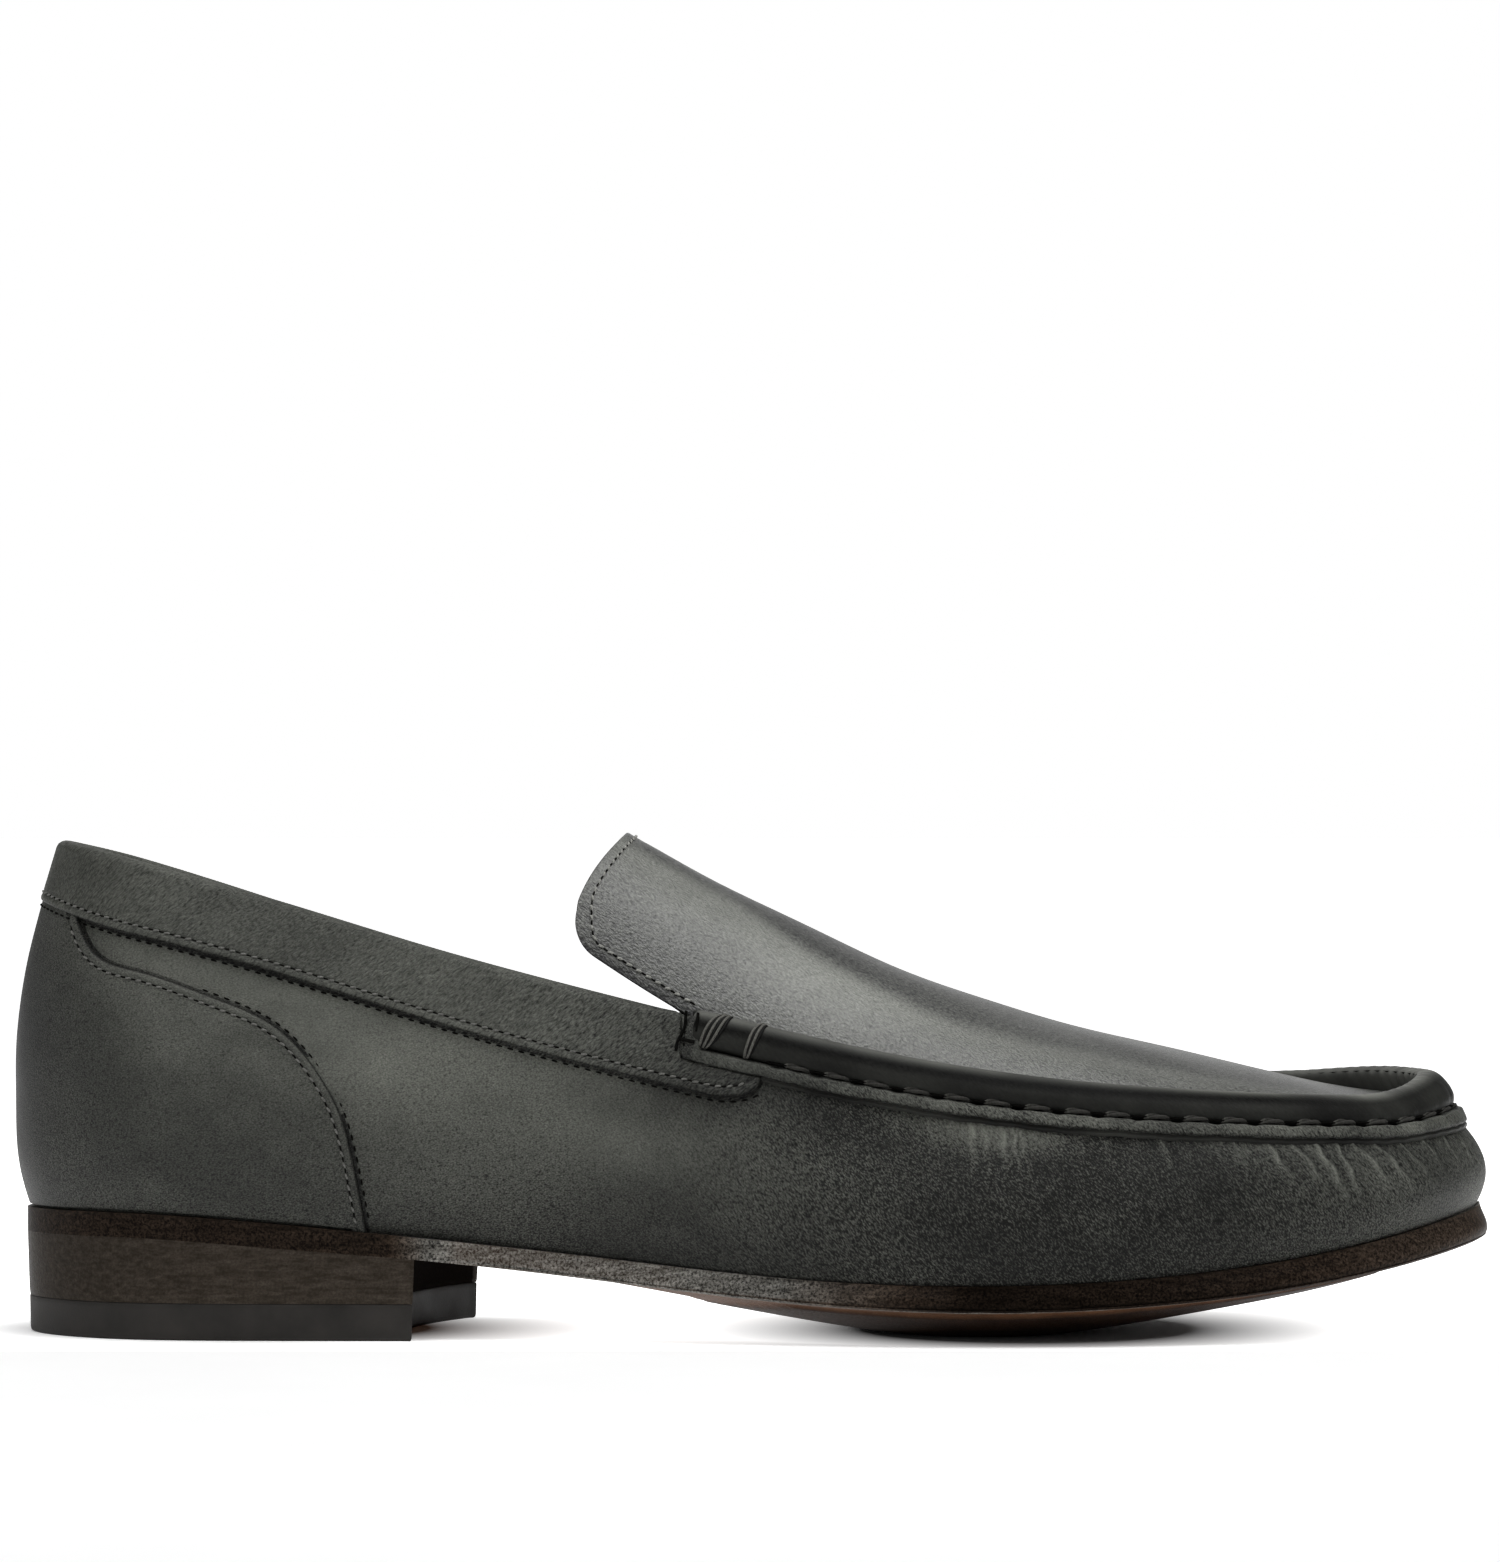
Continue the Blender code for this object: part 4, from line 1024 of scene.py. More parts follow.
def pull(rows):
    """How strongly the thread pulls the seam in: 1 at its holes."""
    place = (seam_length(rows) - FIRST_STITCH) / APRON_PITCH
    away = np.abs(place - np.round(place)) * APRON_PITCH
    return hill(away, 0, PULL_REACH) * (place > -0.5) * (place < STITCHES + 0.5)


roll_weights = spline(range(len(ROLL) + 1), np.eye(len(ROLL) + 1))


def roll_controls(rows):
    down, out = seam_lines(rows, ROLL)
    *_, drawn, pleated = np.array(ROLL).T
    pulled = pull(rows)[:, None] * drawn
    depth, pitch = PLEATS
    pleat = depth * ripple(seam_length(rows), pitch) * hill(rows, TOE + 0.4, 1.5)
    out = out - pulled + pleat[:, None] * pleated
    end = rounded((nearest(rows) - THROAT) / ROLL_END)[:, None]
    down, out = mix(2.4, down, 0.45 + 0.55 * end), out * (0.2 + 0.8 * end)
    skin = wall_down(rows[:, None], down - PULL_UP * pulled, out)
    return np.concatenate([seam_foot(rows)[:, None], skin], 1)


def roll_skin(rows, places):
    """Points on the roll: places run from its foot on the apron, 0, to the stitch groove, 1."""
    return np.einsum("nk,nkc->nc", roll_weights(places * len(ROLL)), roll_controls(rows))


def build_roll():
    """The padded roll, with painted highlight on top and painted shade in front."""
    rows = SEAM_ROWS
    places = np.linspace(0, len(ROLL), 30)
    skin = np.einsum("tk,nkc->ntc", roll_weights(places), roll_controls(rows))
    under = wall_down(rows[:, None], seam_lines(rows, ROLL)[0][:, [5, 3, 1]], 0.0)
    # its mark is painted light: highlight on the roll's top, shade in front, brighter near the toe
    point, side, toe = np.array(ROLL_PAINTED_LIGHT).T
    turn = smooth_step(*TOE_PAINTED_LIGHT, nearest(rows))[:, None]
    sheen = mix(np.interp(places, point, side), np.interp(places, point, toe), turn)
    sheen = np.concatenate([sheen, np.full((len(rows), 3), 0.5)], 1)
    Form().loft(np.concatenate([skin, under], 1), mark=sheen).piece(
        "seam_roll", DARK, "dark_grey_leather", "apron_seam")


def build_lip():
    """The cut edge of the vamp under the roll, with a tab at each end, and the fold that shows under it, dark
    with painted shadow.
    """
    rows = np.concatenate([np.linspace(LIP_START, THROAT, 16, endpoint=False), SEAM_ROWS,
                           np.linspace(ROUND - THROAT, ROUND - LIP_START, 16)[1:]])
    *_, sink, draw, rise, forward, waved, gathers, tones = np.array(LIP).T
    down, out = seam_lines(rows, LIP)
    pulled = pull(rows)[:, None]
    tab = 1 - smooth_step(*LIP_TAB, nearest(rows))[:, None]
    down = down + pulled * sink - tab * rise
    out = out - pulled * draw
    wave = (0.08 * ripple(seam_length(rows), 23) + 0.06 * np.sin(rows * 31))[:, None]
    end = rounded((nearest(rows) - LIP_START) / LIP_END)[:, None]
    lean = tab * np.sign(TOE - rows)[:, None] * forward
    middle = down.mean(1, keepdims=True)
    down = middle + (down + wave * waved - middle) * (0.25 + 0.75 * end)
    depth, pitch = TAB_FOLDS
    gathered = (depth * ripple(arc(rows), pitch) * hill(nearest(rows), LIP_TAB[1], 0.13))[:, None]
    out = (out + gathered * gathers) * (0.35 + 0.65 * end)
    places = np.linspace(0, len(LIP) - 1, 26)
    weights = spline(range(len(LIP)), np.eye(len(LIP)))(places)
    skin = np.einsum("tk,nkc->ntc", weights, wall_down(rows[:, None] + lean, down, out))
    under = wall_down(rows[:, None], down[:, [6, 0]], -0.2)
    worn = 1 + sum(depth * ripple(arc(rows), pitch) for depth, pitch in LIP_WEAR)
    dye = np.interp(places, range(len(LIP)), tones) * worn[:, None]
    # painted shade darkens the tabs and the lip's ends; the folds beside the tabs get painted light and shade
    dye = dye * (1 - 0.62 * tab) * (1 + 1.5 * gathered) * (0.25 + 0.75 * end)
    Form().loft(np.concatenate([skin, under], 1), mark=np.concatenate([dye, 0 * dye[:, :2] + 0.1], 1)).piece(
        "seam_lip", GREY, "dark_grey_leather", "apron_seam")

    inner = slice(8, -8)
    shown, stand = UNDERLAY
    low, edge = down[inner, -1:], shown + 0.5 * wave[inner]
    profile = [(-1.0, stand), (edge - 0.3, stand), (edge, stand - 0.35), (edge, -0.2), (-1.0, -0.2)]
    ring = np.stack([wall_down(rows[inner], (low + d)[:, 0], out) for d, out in profile], 1)
    # the vamp's fold under the lip, darkened with painted shadow
    Form().loft(ring, mark=1.6).piece("seam_underlay", DARK, "dark_grey_leather", "apron_seam")


def build_apron_thread():
    """Twisted two-strand stitches along the seam, and the wraps that hold its ends."""
    form = Form()
    steps = np.linspace(0, 1, 22)
    arch = np.sin(pi * steps)
    places = FIRST_STITCH + (np.arange(STITCHES)[:, None] + mix(*STITCH_SPAN, steps)) * APRON_PITCH
    rows = seam_row(places)
    paths = stitch_line(rows, -0.3 + mix(*STITCH_ARCH, seam_turn(rows)) * arch**0.45)
    normals = stitch_normal(rows)
    sideways = unit(np.cross(normals, unit(np.gradient(paths, axis=1))))
    paths = paths + sideways * (0.25 - 0.5 * steps)[:, None]
    fleck = (1.7 + 4.0 * hill(steps, 0.16, 0.08))[:, None]
    for strand in (0, pi):
        turn = (2 * pi * THREAD_TWIST * steps + strand)[None, :, None]
        ply = paths + 0.3 * (np.cos(turn) * normals + np.sin(turn) * sideways)
        form.tubes(ply, normals, THREAD * (0.3 + 0.7 * arch**0.7), mark=fleck)
    for wrap in WRAPS:
        for side in (-1, 1):
            wind(form, wrap, side)
    form.piece("apron_thread", DARK_THREAD, "dark_grey_leather", "apron_seam")


def wind(form, wrap, side):
    """Strands over the roll, light with painted highlight and dark with painted shade by turns, and a last
    dark one for the painted shade beside them.
    """
    steps = np.linspace(0, 1, 22)
    arch = np.sin(pi * steps)
    foot, top = (arc(row_at(x, side)) for x in (wrap.foot_x, wrap.top_x))
    for strand in range(wrap.strands + 1):
        shade = strand == wrap.strands
        shift = (strand - (wrap.strands - 1) / 2) * wrap.spacing * -side
        rows = row_of(mix(top, foot, steps) + shift * (0.4 + 0.6 * arch))
        skin = roll_skin(rows, 0.2 + 0.8 * steps)
        normal = unit(skin - wall_down(rows, 2.0, 0.0))
        bulge = 0.3 * arch * (1 - (shift / (wrap.strands * wrap.spacing))**2 * 3)
        height = wrap.radius * (0.75 * arch**0.3 - 0.1 - 0.35 * (strand % 2)) + bulge * (not shade)
        form.tubes((skin + normal * height[:, None])[None], normal[None], wrap.radius,
                   mark=WRAP_PAINTED_LIGHT[shade or strand % 2])


# Overlays on the wall
def band_low(rows):
    near = nearest(rows)
    width = mix(BAND_BACK, BAND_SIDE, smooth_step(*BAND_WIDENS, near))
    curl = np.clip((near - BAND_CURL) / (BAND_END - BAND_CURL), 0, 1)
    return mix(width, BAND_UNDER_LIP + BAND_TIP, 1 - np.sqrt(1 - curl**2))


def sewn_edge(distance):
    """Height of a sewn-on leather at a distance in from its edge: rounded rim, bead and stitch trough."""
    (bead, bead_width, bead_height), (sink, sink_width, sink_depth) = EDGE_BEAD, STITCH_SINK
    skin = OVERLAY * rounded(distance / EDGE_RIM) + bead_height * hill(distance, bead, bead_width)
    return skin - sink_depth * hill(distance, sink, sink_width)


SEWN = GAP + sewn_edge(STITCH_SINK[0])  # height of the stitches on the band


def edge_dye_and_shade(distance):
    """Dark along the cut edge, partly its own colour and partly painted shade, and painted shade where the
    stitches pull in.
    """
    return 1 - 0.85 * (1 - smooth_step(0.1, 0.55, distance)) - 0.25 * hill(distance, STITCH_SINK[0], 0.35)


def band_line():
    """The band's lower edge on the outer side: lengths along the sole and down the wall, and the way in."""
    rows = np.concatenate([np.linspace(0, BAND_CURL, 500, endpoint=False),
                           mix(BAND_CURL, BAND_END, np.sin(np.linspace(0, pi / 2, 80)))])
    line = np.stack([arc(rows), band_low(rows)], -1)
    ahead = unit(np.gradient(line, axis=0))
    return line, np.stack([ahead[:, 1], -ahead[:, 0]], -1)


def build_band():
    """The collar band, turned over the top line and let in under the seam's lip, with painted shadow below
    its edge.
    """
    front = np.linspace(BAND_DIP[0] - 0.06, BAND_END, 90)
    half = np.concatenate([np.linspace(0, front[0], 240, endpoint=False), front])
    rows = np.concatenate([-half[:0:-1], half])
    dip = smooth_step(*BAND_DIP, nearest(rows))[:, None]
    low = band_low(rows)[:, None]
    top = BAND_UNDER_LIP * dip
    shares = steps_to(0, (0.28, 26), (1, 21))
    flat_down = mix(low, top + mix(2.2, 0.8, dip), shares)
    reach = np.broadcast_to(low - flat_down, flat_down.shape).copy()
    curled = nearest(rows) > BAND_CURL - 0.4
    here = np.stack([np.broadcast_to(arc(nearest(rows))[:, None], reach.shape), flat_down], -1)[curled]
    edge = band_line()[0][-160:]
    reach[curled] = np.minimum(reach[curled], np.min(np.linalg.norm(here[..., None, :] - edge, axis=-1), -1))
    waves = unevenness(arc(rows)[:, None], flat_down)
    flat_out = GAP + sewn_edge(reach) + 0.5 * smooth_step(2, 5, reach) * waves
    over = np.array(BAND_FOLD)
    folded = np.array([top + 0.5 * np.ones_like(low) * k / len(over) for k in range(len(over))])[..., 0].T
    wrap_down = mix(over[:, 0], folded, dip)
    wrap_out = mix(over[:, 1], GAP + 0.4, dip)
    # a thin dark strip on the wall just below the band's edge: painted shadow
    line_down, line_out = np.array([(-0.02, 0.05), (EDGE_SHADOW_LINE, -0.1), (EDGE_SHADOW_LINE, 0.12), (0.03, 0.16)]).T
    down = np.concatenate([flat_down, wrap_down, low + line_down], 1)
    out = np.concatenate([flat_out, wrap_out, line_out + 0 * low], 1)
    x = plan(rows)[0][:, 0]
    fade, line_shadow = table_at(x, BAND_TONE)[:, None], table_at(x, BAND_SHADOW)[:, None]
    dark = np.concatenate([edge_dye_and_shade(reach), np.ones_like(wrap_down), np.tile(line_shadow, 4)], 1)
    Form().loft(wall_down(rows[:, None], down, out), mark=fade * dark).piece(
        "collar_binding", PEBBLED, "grey_leather", "collar_band")


counter_height = spline([p.row for p in COUNTER_EDGE], [p.height for p in COUNTER_EDGE])


def counter_top(rows):
    near = nearest(rows)
    under_band = 1 - (band_low(rows) - 1.0) / wall_length(rows)
    edge = counter_height(np.clip(near, COUNTER_EDGE[0].row, COUNTER_EDGE[-1].row))[..., 0]
    return np.where(near < COUNTER_EDGE[0].row, under_band, np.minimum(under_band, edge))


def counter_line():
    """The counter's front edge on the outer side: lengths along the sole, heights on the wall, the way in."""
    rows = np.linspace(COUNTER_EDGE[0].row, COUNTER_EDGE[-1].row, 600)
    line = np.stack([arc(rows), counter_top(rows) * wall_length(rows)], -1)
    length = lengths(line)
    even = np.linspace(0, length[-1], 420)
    line = np.stack([np.interp(even, length, column) for column in line.T], -1)
    ahead = unit(np.gradient(line, axis=0))
    return line, np.stack([ahead[:, 1], -ahead[:, 0]], -1)


def on_wall(places, side, out):
    """Points and normals on the wall for lengths and heights, on the outer side, -1, or the inner, 1."""
    rows = row_of(places[..., 0])
    share = np.clip(places[..., 1] / wall_length(rows), 0, 1)
    point, normal, _ = wall_frame(on_side(rows, side), share)
    return point + normal * np.asarray(out, float)[..., None], normal


def build_counter():
    """A field over the heel and, along each front edge, a strip with the bead and the stitch trough and a
    line of painted shadow outside it.
    """
    form = Form()
    half = steps_to(0, (2.2, 110), (COUNTER_EDGE[-1].row, 59))
    rows = np.concatenate([-half[:0:-1], half])[:, None]
    levels = 1 - (1 - np.linspace(0, 1, 60))**1.5
    shares = mix(COUNTER_FOOT, counter_top(rows), levels)
    here = np.stack([arc(nearest(rows)) + 0 * shares, shares * wall_length(rows)], -1)
    line, inward = counter_line()
    distance = np.min(np.linalg.norm(here[..., None, :] - line[::6], axis=-1), -1)
    relief = 0.7 * unevenness(arc(rows), here[..., 1]) * smooth_step(2, 12, distance)
    outside = wall_point(rows, shares, OVERLAY * smooth_step(1.3, 2.4, distance) - 0.05 + relief)
    inside = wall_point(rows, shares[:, ::12][:, ::-1], -0.2)
    dye = COUNTER_DYE * burnish_and_shade_at(outside[..., 0], shares)
    form.loft(np.concatenate([outside, inside], 1), mark=np.concatenate([dye, dye[:, ::12][:, ::-1]], 1))
    distance = np.concatenate([[-EDGE_SHADOW_LINE - 0.02, -EDGE_SHADOW_LINE, -0.03], np.linspace(0, EDGE_STRIP, 28)])
    places = line[:, None] + inward[:, None] * distance[:, None]
    places[..., 1] = np.maximum(places[..., 1], 0.2)
    for side in (-1, 1):
        outside_edge = np.where(distance < -EDGE_SHADOW_LINE, -0.1, 0.13 * (distance < 0))
        height = sewn_edge(distance) + outside_edge - 0.1 * smooth_step(2.3, EDGE_STRIP, distance)
        skin, _ = on_wall(places, side, height)
        base, _ = on_wall(places[:, [-1, 0]], side, -0.2)
        share = places[..., 1] / wall_length(row_of(places[..., 0]))
        shadow = table_at(np.linspace(0, 1, len(line)), COUNTER_SHADOW)[:, None]
        # outside the edge the strip is a dark line of painted shadow
        dye = COUNTER_DYE * burnish_and_shade_at(skin[..., 0], share) * np.where(distance < 0, shadow, edge_dye_and_shade(distance))
        form.loft(np.concatenate([skin, base], 1), mark=np.concatenate([dye, dye[:, [-1, 0]]], 1))
    form.piece("heel_counter_patch", GREY, "grey_leather", "heel_counter")


def sew(threads, holes_and_shadows, points, normals, pitch=FINE_PITCH, slot=NEEDLE_SLOT, tone=1.0):
    """A row of fine stitches: a dark slot where the needle went in, with its painted shadow, then a short
    slanted thread, if any.
    """
    starts = np.arange(int(lengths(points)[-1] / pitch))[:, None] * pitch
    steps = np.linspace(0, 1, 7)
    swell = np.sqrt(np.sin(pi * steps).clip(0))
    paths, up = along_line(points, normals, starts + 0.54 * pitch * steps)
    holes_and_shadows.tubes(paths - up * 0.08, up, slot * (0.4 + 0.6 * swell), 6)
    if threads:
        paths, up = along_line(points, normals, starts + pitch * (0.5 + 0.54 * steps))
        slant = np.cross(up, unit(np.gradient(paths, axis=1))) * (0.16 * (2 * steps - 1))[:, None]
        raised = paths + up * (0.36 * swell - 0.2)[:, None] + slant
        threads.tubes(raised, up, FINE_THREAD * (0.5 + 0.5 * swell), 6, tone)


def open_gaps(holes_and_shadows):
    """Dark gaps where the apron's thread goes in, between one stitch and the next."""
    half, radius = THREAD_GAP
    steps = np.linspace(-1, 1, 9)
    places = FIRST_STITCH + np.arange(STITCHES + 1)[:, None] * APRON_PITCH + half * steps
    rows = seam_row(places)
    holes_and_shadows.tubes(stitch_line(rows, 1.35), stitch_normal(rows), radius * np.sqrt(1.03 - steps**2))


def sew_band(threads, holes_and_shadows, side):
    """Along the band's lower edge: a row on it, and slots on the leather below."""
    line, inward = band_line()
    for distance, kept in ((STITCH_SINK[0], slice(None, -22)), (-STITCH_OUTSIDE, slice(None, -6))):
        length, down = (line + inward * distance)[kept].T
        rows = row_of(np.maximum(length, 0))
        on_counter = 1 - smooth_step(0.66, 0.74, rows)
        out = SEWN if distance > 0 else 0.16 + 1.0 * on_counter
        rows = on_side(rows, side)
        sew(threads if distance > 0 else None, holes_and_shadows, wall_down(rows, down, out), wall_normal(rows, down))


def sew_tab(holes_and_shadows, side):
    """Slots down the lip's tab, and dark tubes of painted shade in the gaps on both sides of it and under it.
    """
    def shade_gap(rows, down, out, radius):
        rows, down = arrays(on_side(rows, side), down)
        holes_and_shadows.tubes(wall_down(rows, down, out)[None], wall_normal(rows, down)[None], radius)

    fall = np.linspace(-0.4, 7.6, 60)
    rows = on_side(np.full(60, TAB_STITCHES), side)
    sew(None, holes_and_shadows, wall_down(rows, fall, 2.0), wall_normal(rows, fall), TAB_PITCH)
    for row, lean, out, low in TAB_GAP_SHADES:
        down = mix(-0.6, low, np.linspace(0, 1, 30))
        shade_gap(row + lean * (1 - smooth_step(2, 7, down)), down, out, 0.32)
    shade_gap(np.linspace(LIP_START + 0.03, TAB_GAP_SHADE, 20), TAB_FOOT_SHADE, 2.0, 0.35)


def sew_counter(threads, holes_and_shadows, side):
    """Along the counter's front edge: a row on it, and slots on the leather in front."""
    line, inward = counter_line()
    for distance, out, first in ((STITCH_SINK[0], SEWN - GAP, 8), (-STITCH_OUTSIDE, 0.14, 150)):
        inner = threads if distance > 0 else None
        sew(inner, holes_and_shadows, *on_wall((line + inward * distance)[first:-4], side, out))


def sew_tongue(threads, holes_and_shadows):
    """Up one side of the tongue, round its end and down the other."""
    (aside, end), (corner_aside, corner_end) = TONGUE_SEAM, TONGUE_SEAM_CORNER
    turn = np.linspace(0, pi / 2, 40)
    last, low = corner_end - end, corner_aside - aside
    run = [np.linspace(-0.02, last, 70), last - corner_end * np.sin(turn), np.full(60, -end)]
    over = [np.full(70, -aside), low - corner_aside * np.cos(turn), np.linspace(low, 0, 60)]
    run, over = np.concatenate(run), np.concatenate(over)
    run, over = np.concatenate([run, run[-2::-1]]), np.concatenate([over, -over[-2::-1]])
    up = apron_normal(run, over)
    sew(threads, holes_and_shadows, apron_point(run, over) + up * 0.1, up, tone=2.2)


def build_stitches():
    """Rows along the collar band, the lip's tabs, the counter's edge and the tongue."""
    threads, holes_and_shadows = Form(), Form()
    for side in (-1, 1):
        sew_band(threads, holes_and_shadows, side)
        sew_tab(holes_and_shadows, side)
        sew_counter(threads, holes_and_shadows, side)
    sew_tongue(threads, holes_and_shadows)
    open_gaps(holes_and_shadows)
    threads.piece("fine_stitches", GREY_THREAD, "grey_leather")
    holes_and_shadows.piece("stitch_holes_and_shadows", HOLE_AND_SHADOW, "dark_grey_leather")


# Sole and heel
def build_sole():
    """Outsole from heel seat to toe: waxed edge, bevelled rim, tan bottom with a darker forepart."""
    rows = steps_to(0, (1, 25), (9, 109), (TOE, 59))
    sides = [plan(rows), plan(ROUND - rows)]
    middle_x = (sides[0][0][:, 0] + sides[1][0][:, 0]) / 2
    flare = EDGE_FLARE * smooth_step(BREAST_LATERAL, BREAST_LATERAL + FLARE_RUN, middle_x)
    drops = np.concatenate([np.linspace(0.0, 0.86, 12), np.linspace(0.88, 1.0, 8)])
    shape = spline(*np.array(EDGE_BULGE).T)(drops)[:, 0]

    def edge(side):
        foot, outward, _ = side
        reach = SOLE_REACH + flare[:, None] * (shape - 0.44 * hill(drops, EDGE_GROOVE, 0.02))
        flat = foot[:, None] + outward[:, None] * reach[..., None]
        x = foot[:, 0]
        return with_z(flat, (feather_z(x) - 0.1)[:, None] - (sole_edge(x) - 0.1)[:, None] * drops)

    lateral, medial = edge(sides[0]), edge(sides[1])
    across = steps_to(-1, (-0.8, 13), (0.8, 33), (1, 13))
    share = (across + 1)[:, None] / 2
    floor = mix(lateral[:, -1:, :2], medial[:, -1:, :2], share)
    x = floor[..., 0]
    half = np.linalg.norm(medial[:, -1, :2] - lateral[:, -1, :2], axis=-1)[:, None] / 2
    inward = half * (1 - np.abs(across))
    belly = feather_z(x) - sole_edge(x) - sole_belly(x) * (1 - np.abs(across)**BELLY_POWER)
    rear = FOREPART[0] + FOREPART_CURVE * np.abs(across)**2
    worn = smooth_step(0, 1.2, inward - SOLE_MARGIN) * smooth_step(rear, rear + 3, x)
    worn = worn * (1 - smooth_step(FOREPART[1] - 3, FOREPART[1], x))
    bottom = with_z(floor, np.maximum(belly + 0.5 * (1 - worn) * smooth_step(0.5, 2.5, inward), 0))
    tan = 1 + smooth_step(0.3, 0.9, inward) * (1 + worn)
    top_z = (feather_z(x) - 0.1)[:, [0, -1]]
    top = mix(lateral[:, :1, :2], medial[:, :1, :2], np.array([0.06, 0.94])[:, None])
    top = with_z(top, top_z)
    rings = np.concatenate([lateral, bottom, medial[:, ::-1], top[:, ::-1]], 1)
    tone = table_at(middle_x, EDGE_TONE)[:, None]
    # painted sheen on the waist's edge, painted shade in the edge's groove
    side_mark = tone * (1 - 0.7 / EDGE_FLARE * flare[:, None] * hill(drops, EDGE_GROOVE, 0.03))
    mark = np.concatenate([side_mark, tan, side_mark[:, ::-1], np.ones((len(rows), 2))], 1)
    Form().loft(rings, mark=mark).piece("leather_sole", SOLE_EDGE, "sole_leather", "outsole")


def heel_outline(count=150):
    """The heel in plan: round the back from the outer corner to the inner, then along the hollow breast."""
    outer, inner = row_at(BREAST_LATERAL, -1), row_at(BREAST_MEDIAL, 1) - ROUND
    foot, outward, _ = plan(np.linspace(outer, inner, count))
    rim = foot + outward * SOLE_REACH
    across = np.linspace(1, -1, 40)[1:-1]
    breast = mix(rim[0], rim[-1], (across[:, None] + 1) / 2)
    breast[:, 0] -= BREAST_HOLLOW * (1 - across**2)
    outline = np.concatenate([rim, breast])
    ahead = unit(np.roll(outline, -1, 0) - np.roll(outline, 1, 0))
    return outline, np.stack([-ahead[:, 1], ahead[:, 0]], -1), np.repeat((0, 1), (count, len(breast)))


def build_heel():
    outline, outward, on_breast = heel_outline()
    stack_top = feather_z(outline[:, 0]) - sole_edge(outline[:, 0]) + 0.05

    def block(levels):
        """Rings at levels: share of the height, inset, lowest and highest."""
        return np.stack([
            with_z(outline - outward * inset, mix(low, high, share)) for share, inset, low, high in levels])

    stack = (TOP_PIECE, stack_top)
    levels = [(share, HEEL_TAPER * 0.7 * (1 - share), *stack) for share in np.linspace(0, 1, 14)]
    levels[0] = (0.0, levels[0][1] + 0.12, *stack)
    # painted shade darkens the breast and the heel towards its back
    shade = (1 - 0.92 * on_breast) * mix(0.64, 1.0, smooth_step(-150, -105, outline[:, 0]))
    Form().loft(block(levels), mark=shade).piece("heel_block", HEEL_EDGE, "heel_leather", "heel_stack")
    insets = [(0.0, 1.1), (0.03, 0.75), (0.1, HEEL_TAPER)]
    insets += [(share, mix(HEEL_TAPER, RUBBER_INSET, share)) for share in np.linspace(0.2, 0.95, 8)]
    insets += [(0.985, 0.55), (1.0, 1.0)]
    levels = [(share, inset, 0.0, TOP_PIECE) for share, inset in insets]
    # painted shade darkens the rubber's breast
    Form().loft(block(levels), mark=1 - 0.4 * on_breast).piece(
        "heel_rubber_piece", RUBBER, "heel_rubber", "heel_top_piece")


def build_footbed():
    """The sock over the hidden lift; it rises towards the heel."""
    rows = steps_to(0.08, (1, 19), (9.5, 89), (10.85, 23))
    across = np.linspace(-0.94, 0.94, 25)
    rings = []
    for row in rows:
        pair = np.array([row, ROUND - row])
        foot, _, sizes = plan(pair)
        thick = INSOLE + HEEL_LIFT * (1 - smooth_step(*LIFT_RUN, foot[:, 0].mean()))
        height = sizes[:, 4] - feather_z(foot[:, 0])
        rim = max(thick - 0.5, 1.5) / height
        sides = [wall_point(pair[k], np.linspace(0.02, rim[k], 4), -WALL - INSOLE_ROOM) for k in (0, 1)]
        bed = mix(sides[0][-1], sides[1][-1], (across[:, None] + 1) / 2)
        dip = BELLY_SHARE * sole_belly(bed[:, 0]) * (1 - across**2)
        bed[:, 2] = feather_z(bed[:, 0]) + thick - dip - 0.6 * np.abs(across)**12
        base = mix(sides[0][0], sides[1][0], np.array([0.9, 0.1])[:, None])
        rings.append(np.concatenate([sides[0], bed, sides[1][::-1], base]))
    Form().loft(np.array(rings)).piece("footbed_sock", LINING, "footbed_leather", "insole")


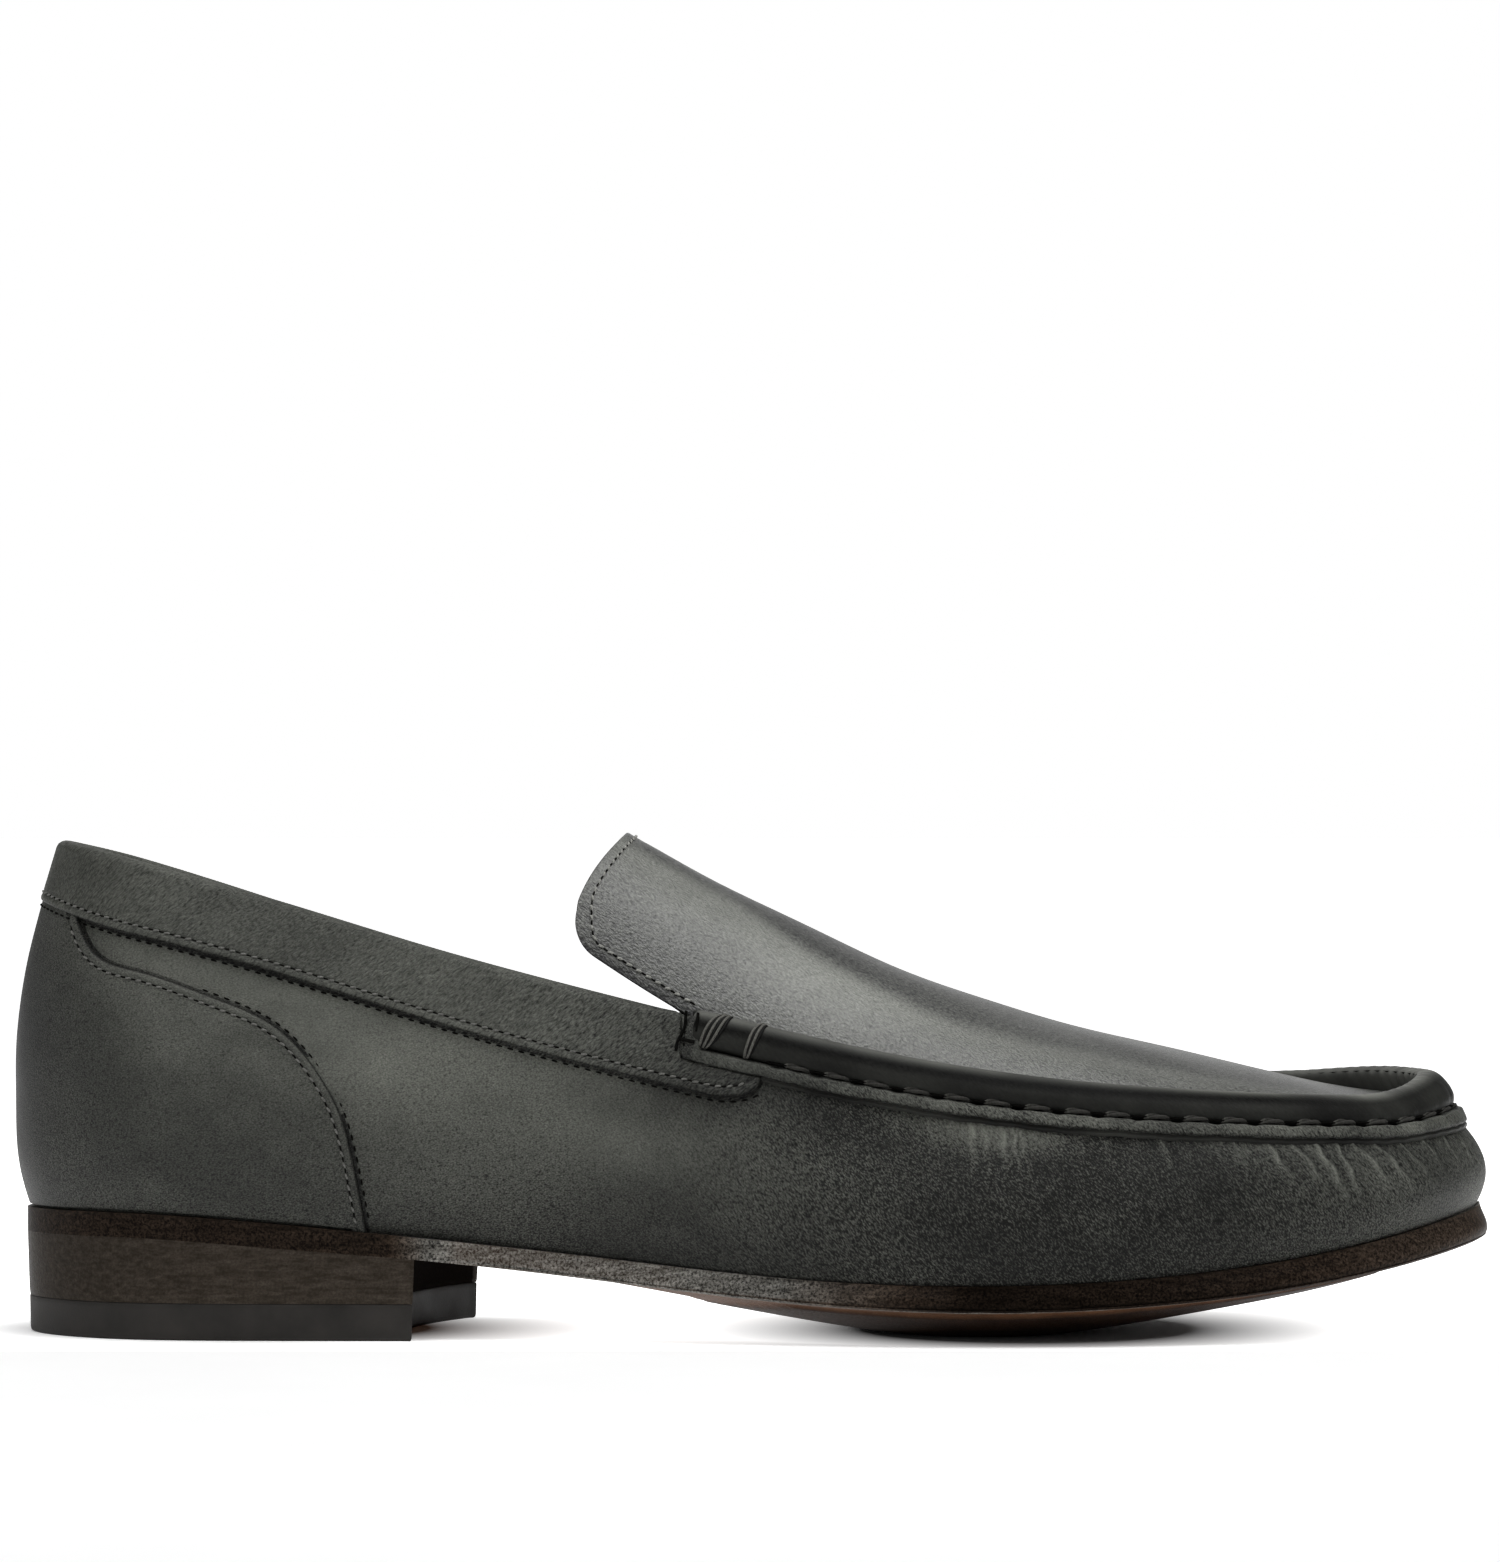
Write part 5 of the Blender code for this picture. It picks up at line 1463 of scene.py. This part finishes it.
# Stage, light and camera
def build_stage():
    """A wide pale floor with a faint tooth, glowing with painted light except in front of the shoe and under
    the ball and the heel.
    """
    mesh = bpy.data.meshes.new("floor")
    maker = bmesh.new()
    bmesh.ops.create_grid(maker, x_segments=24, y_segments=24, size=FLOOR_HALF)
    maker.to_mesh(mesh)
    maker.free()
    look = Look("pale_floor")
    tooth = look.noise(60.0, 3.0)
    colour = look.blend(look.ramp(tooth, 0.2, 0.8), rgb(0.90, 0.90, 0.90), rgb(0.93, 0.93, 0.93))
    depth = look.add("SeparateXYZ", {0: look.place}, out="Y")
    glow = look.ramp(depth, -0.06, -0.03, 0.0, 1.0)
    for spot, size in FLOOR_SHADOWS:
        sockets = {"Vector": look.place, "Location": spot, "Scale": size}
        away = look.add("Mapping", sockets, vector_type="TEXTURE")
        away = look.add("VectorMath", {0: away}, out="Value", operation="LENGTH")
        glow = look.math("MINIMUM", glow, look.ramp(away, 0.8, 1.5))
    mesh.materials.append(look.finish(
        Base_Color=colour, Roughness=0.75, Emission_Color=rgb(1, 1, 1), Emission_Strength=glow))
    floor = bpy.data.objects.new("floor", mesh)
    bpy.context.scene.collection.objects.link(floor)


def area_light(box):
    light = bpy.data.lights.new(box.name, "AREA")
    light.shape = "RECTANGLE"
    light.size, light.size_y = box.size
    light.energy = box.power
    item = bpy.data.objects.new(box.name, light)
    item.location = box.place
    item.rotation_euler = (Vector(box.target) - Vector(box.place)).to_track_quat("-Z", "Y").to_euler()
    bpy.context.scene.collection.objects.link(item)


def build_light():
    """Large soft box above, a weaker one in front to the left, one at the toe, and a white background."""
    for box in SOFTBOXES:
        area_light(box)
    world = bpy.data.worlds.new("studio")
    world.use_nodes = True
    tree = world.node_tree
    place = tree.nodes.new("ShaderNodeTexCoord")
    split = tree.nodes.new("ShaderNodeSeparateXYZ")
    ramp = tree.nodes.new("ShaderNodeMapRange")
    tree.links.new(place.outputs["Generated"], split.inputs[0])
    tree.links.new(split.outputs["Y"], ramp.inputs[0])
    for socket, value in zip(range(1, 5), BACKDROP):
        ramp.inputs[socket].default_value = value
    tree.links.new(ramp.outputs[0], tree.nodes["Background"].inputs["Strength"])
    tree.nodes["Background"].inputs["Color"].default_value = (1, 1, 1, 1)
    bpy.context.scene.world = world


def build_camera():
    data = bpy.data.cameras.new("photo_camera")
    data.sensor_width = SENSOR
    data.lens = SENSOR * CAMERA_DISTANCE / (max(PHOTO_SIZE) * PHOTO_SCALE)
    data.clip_start = 0.05
    camera = bpy.data.objects.new("photo_camera", data)
    camera.location = (0, -CAMERA_DISTANCE * MM, CAMERA_HEIGHT * MM)
    camera.rotation_euler = (radians(90), 0, 0)
    bpy.context.scene.collection.objects.link(camera)
    bpy.context.scene.camera = camera


build_camera()
build_light()
build_stage()
build_wall()
build_apron()
build_roll()
build_lip()
build_apron_thread()
build_band()
build_counter()
build_stitches()
build_sole()
build_heel()
build_footbed()
bpy.context.scene.view_settings.view_transform = "Standard"
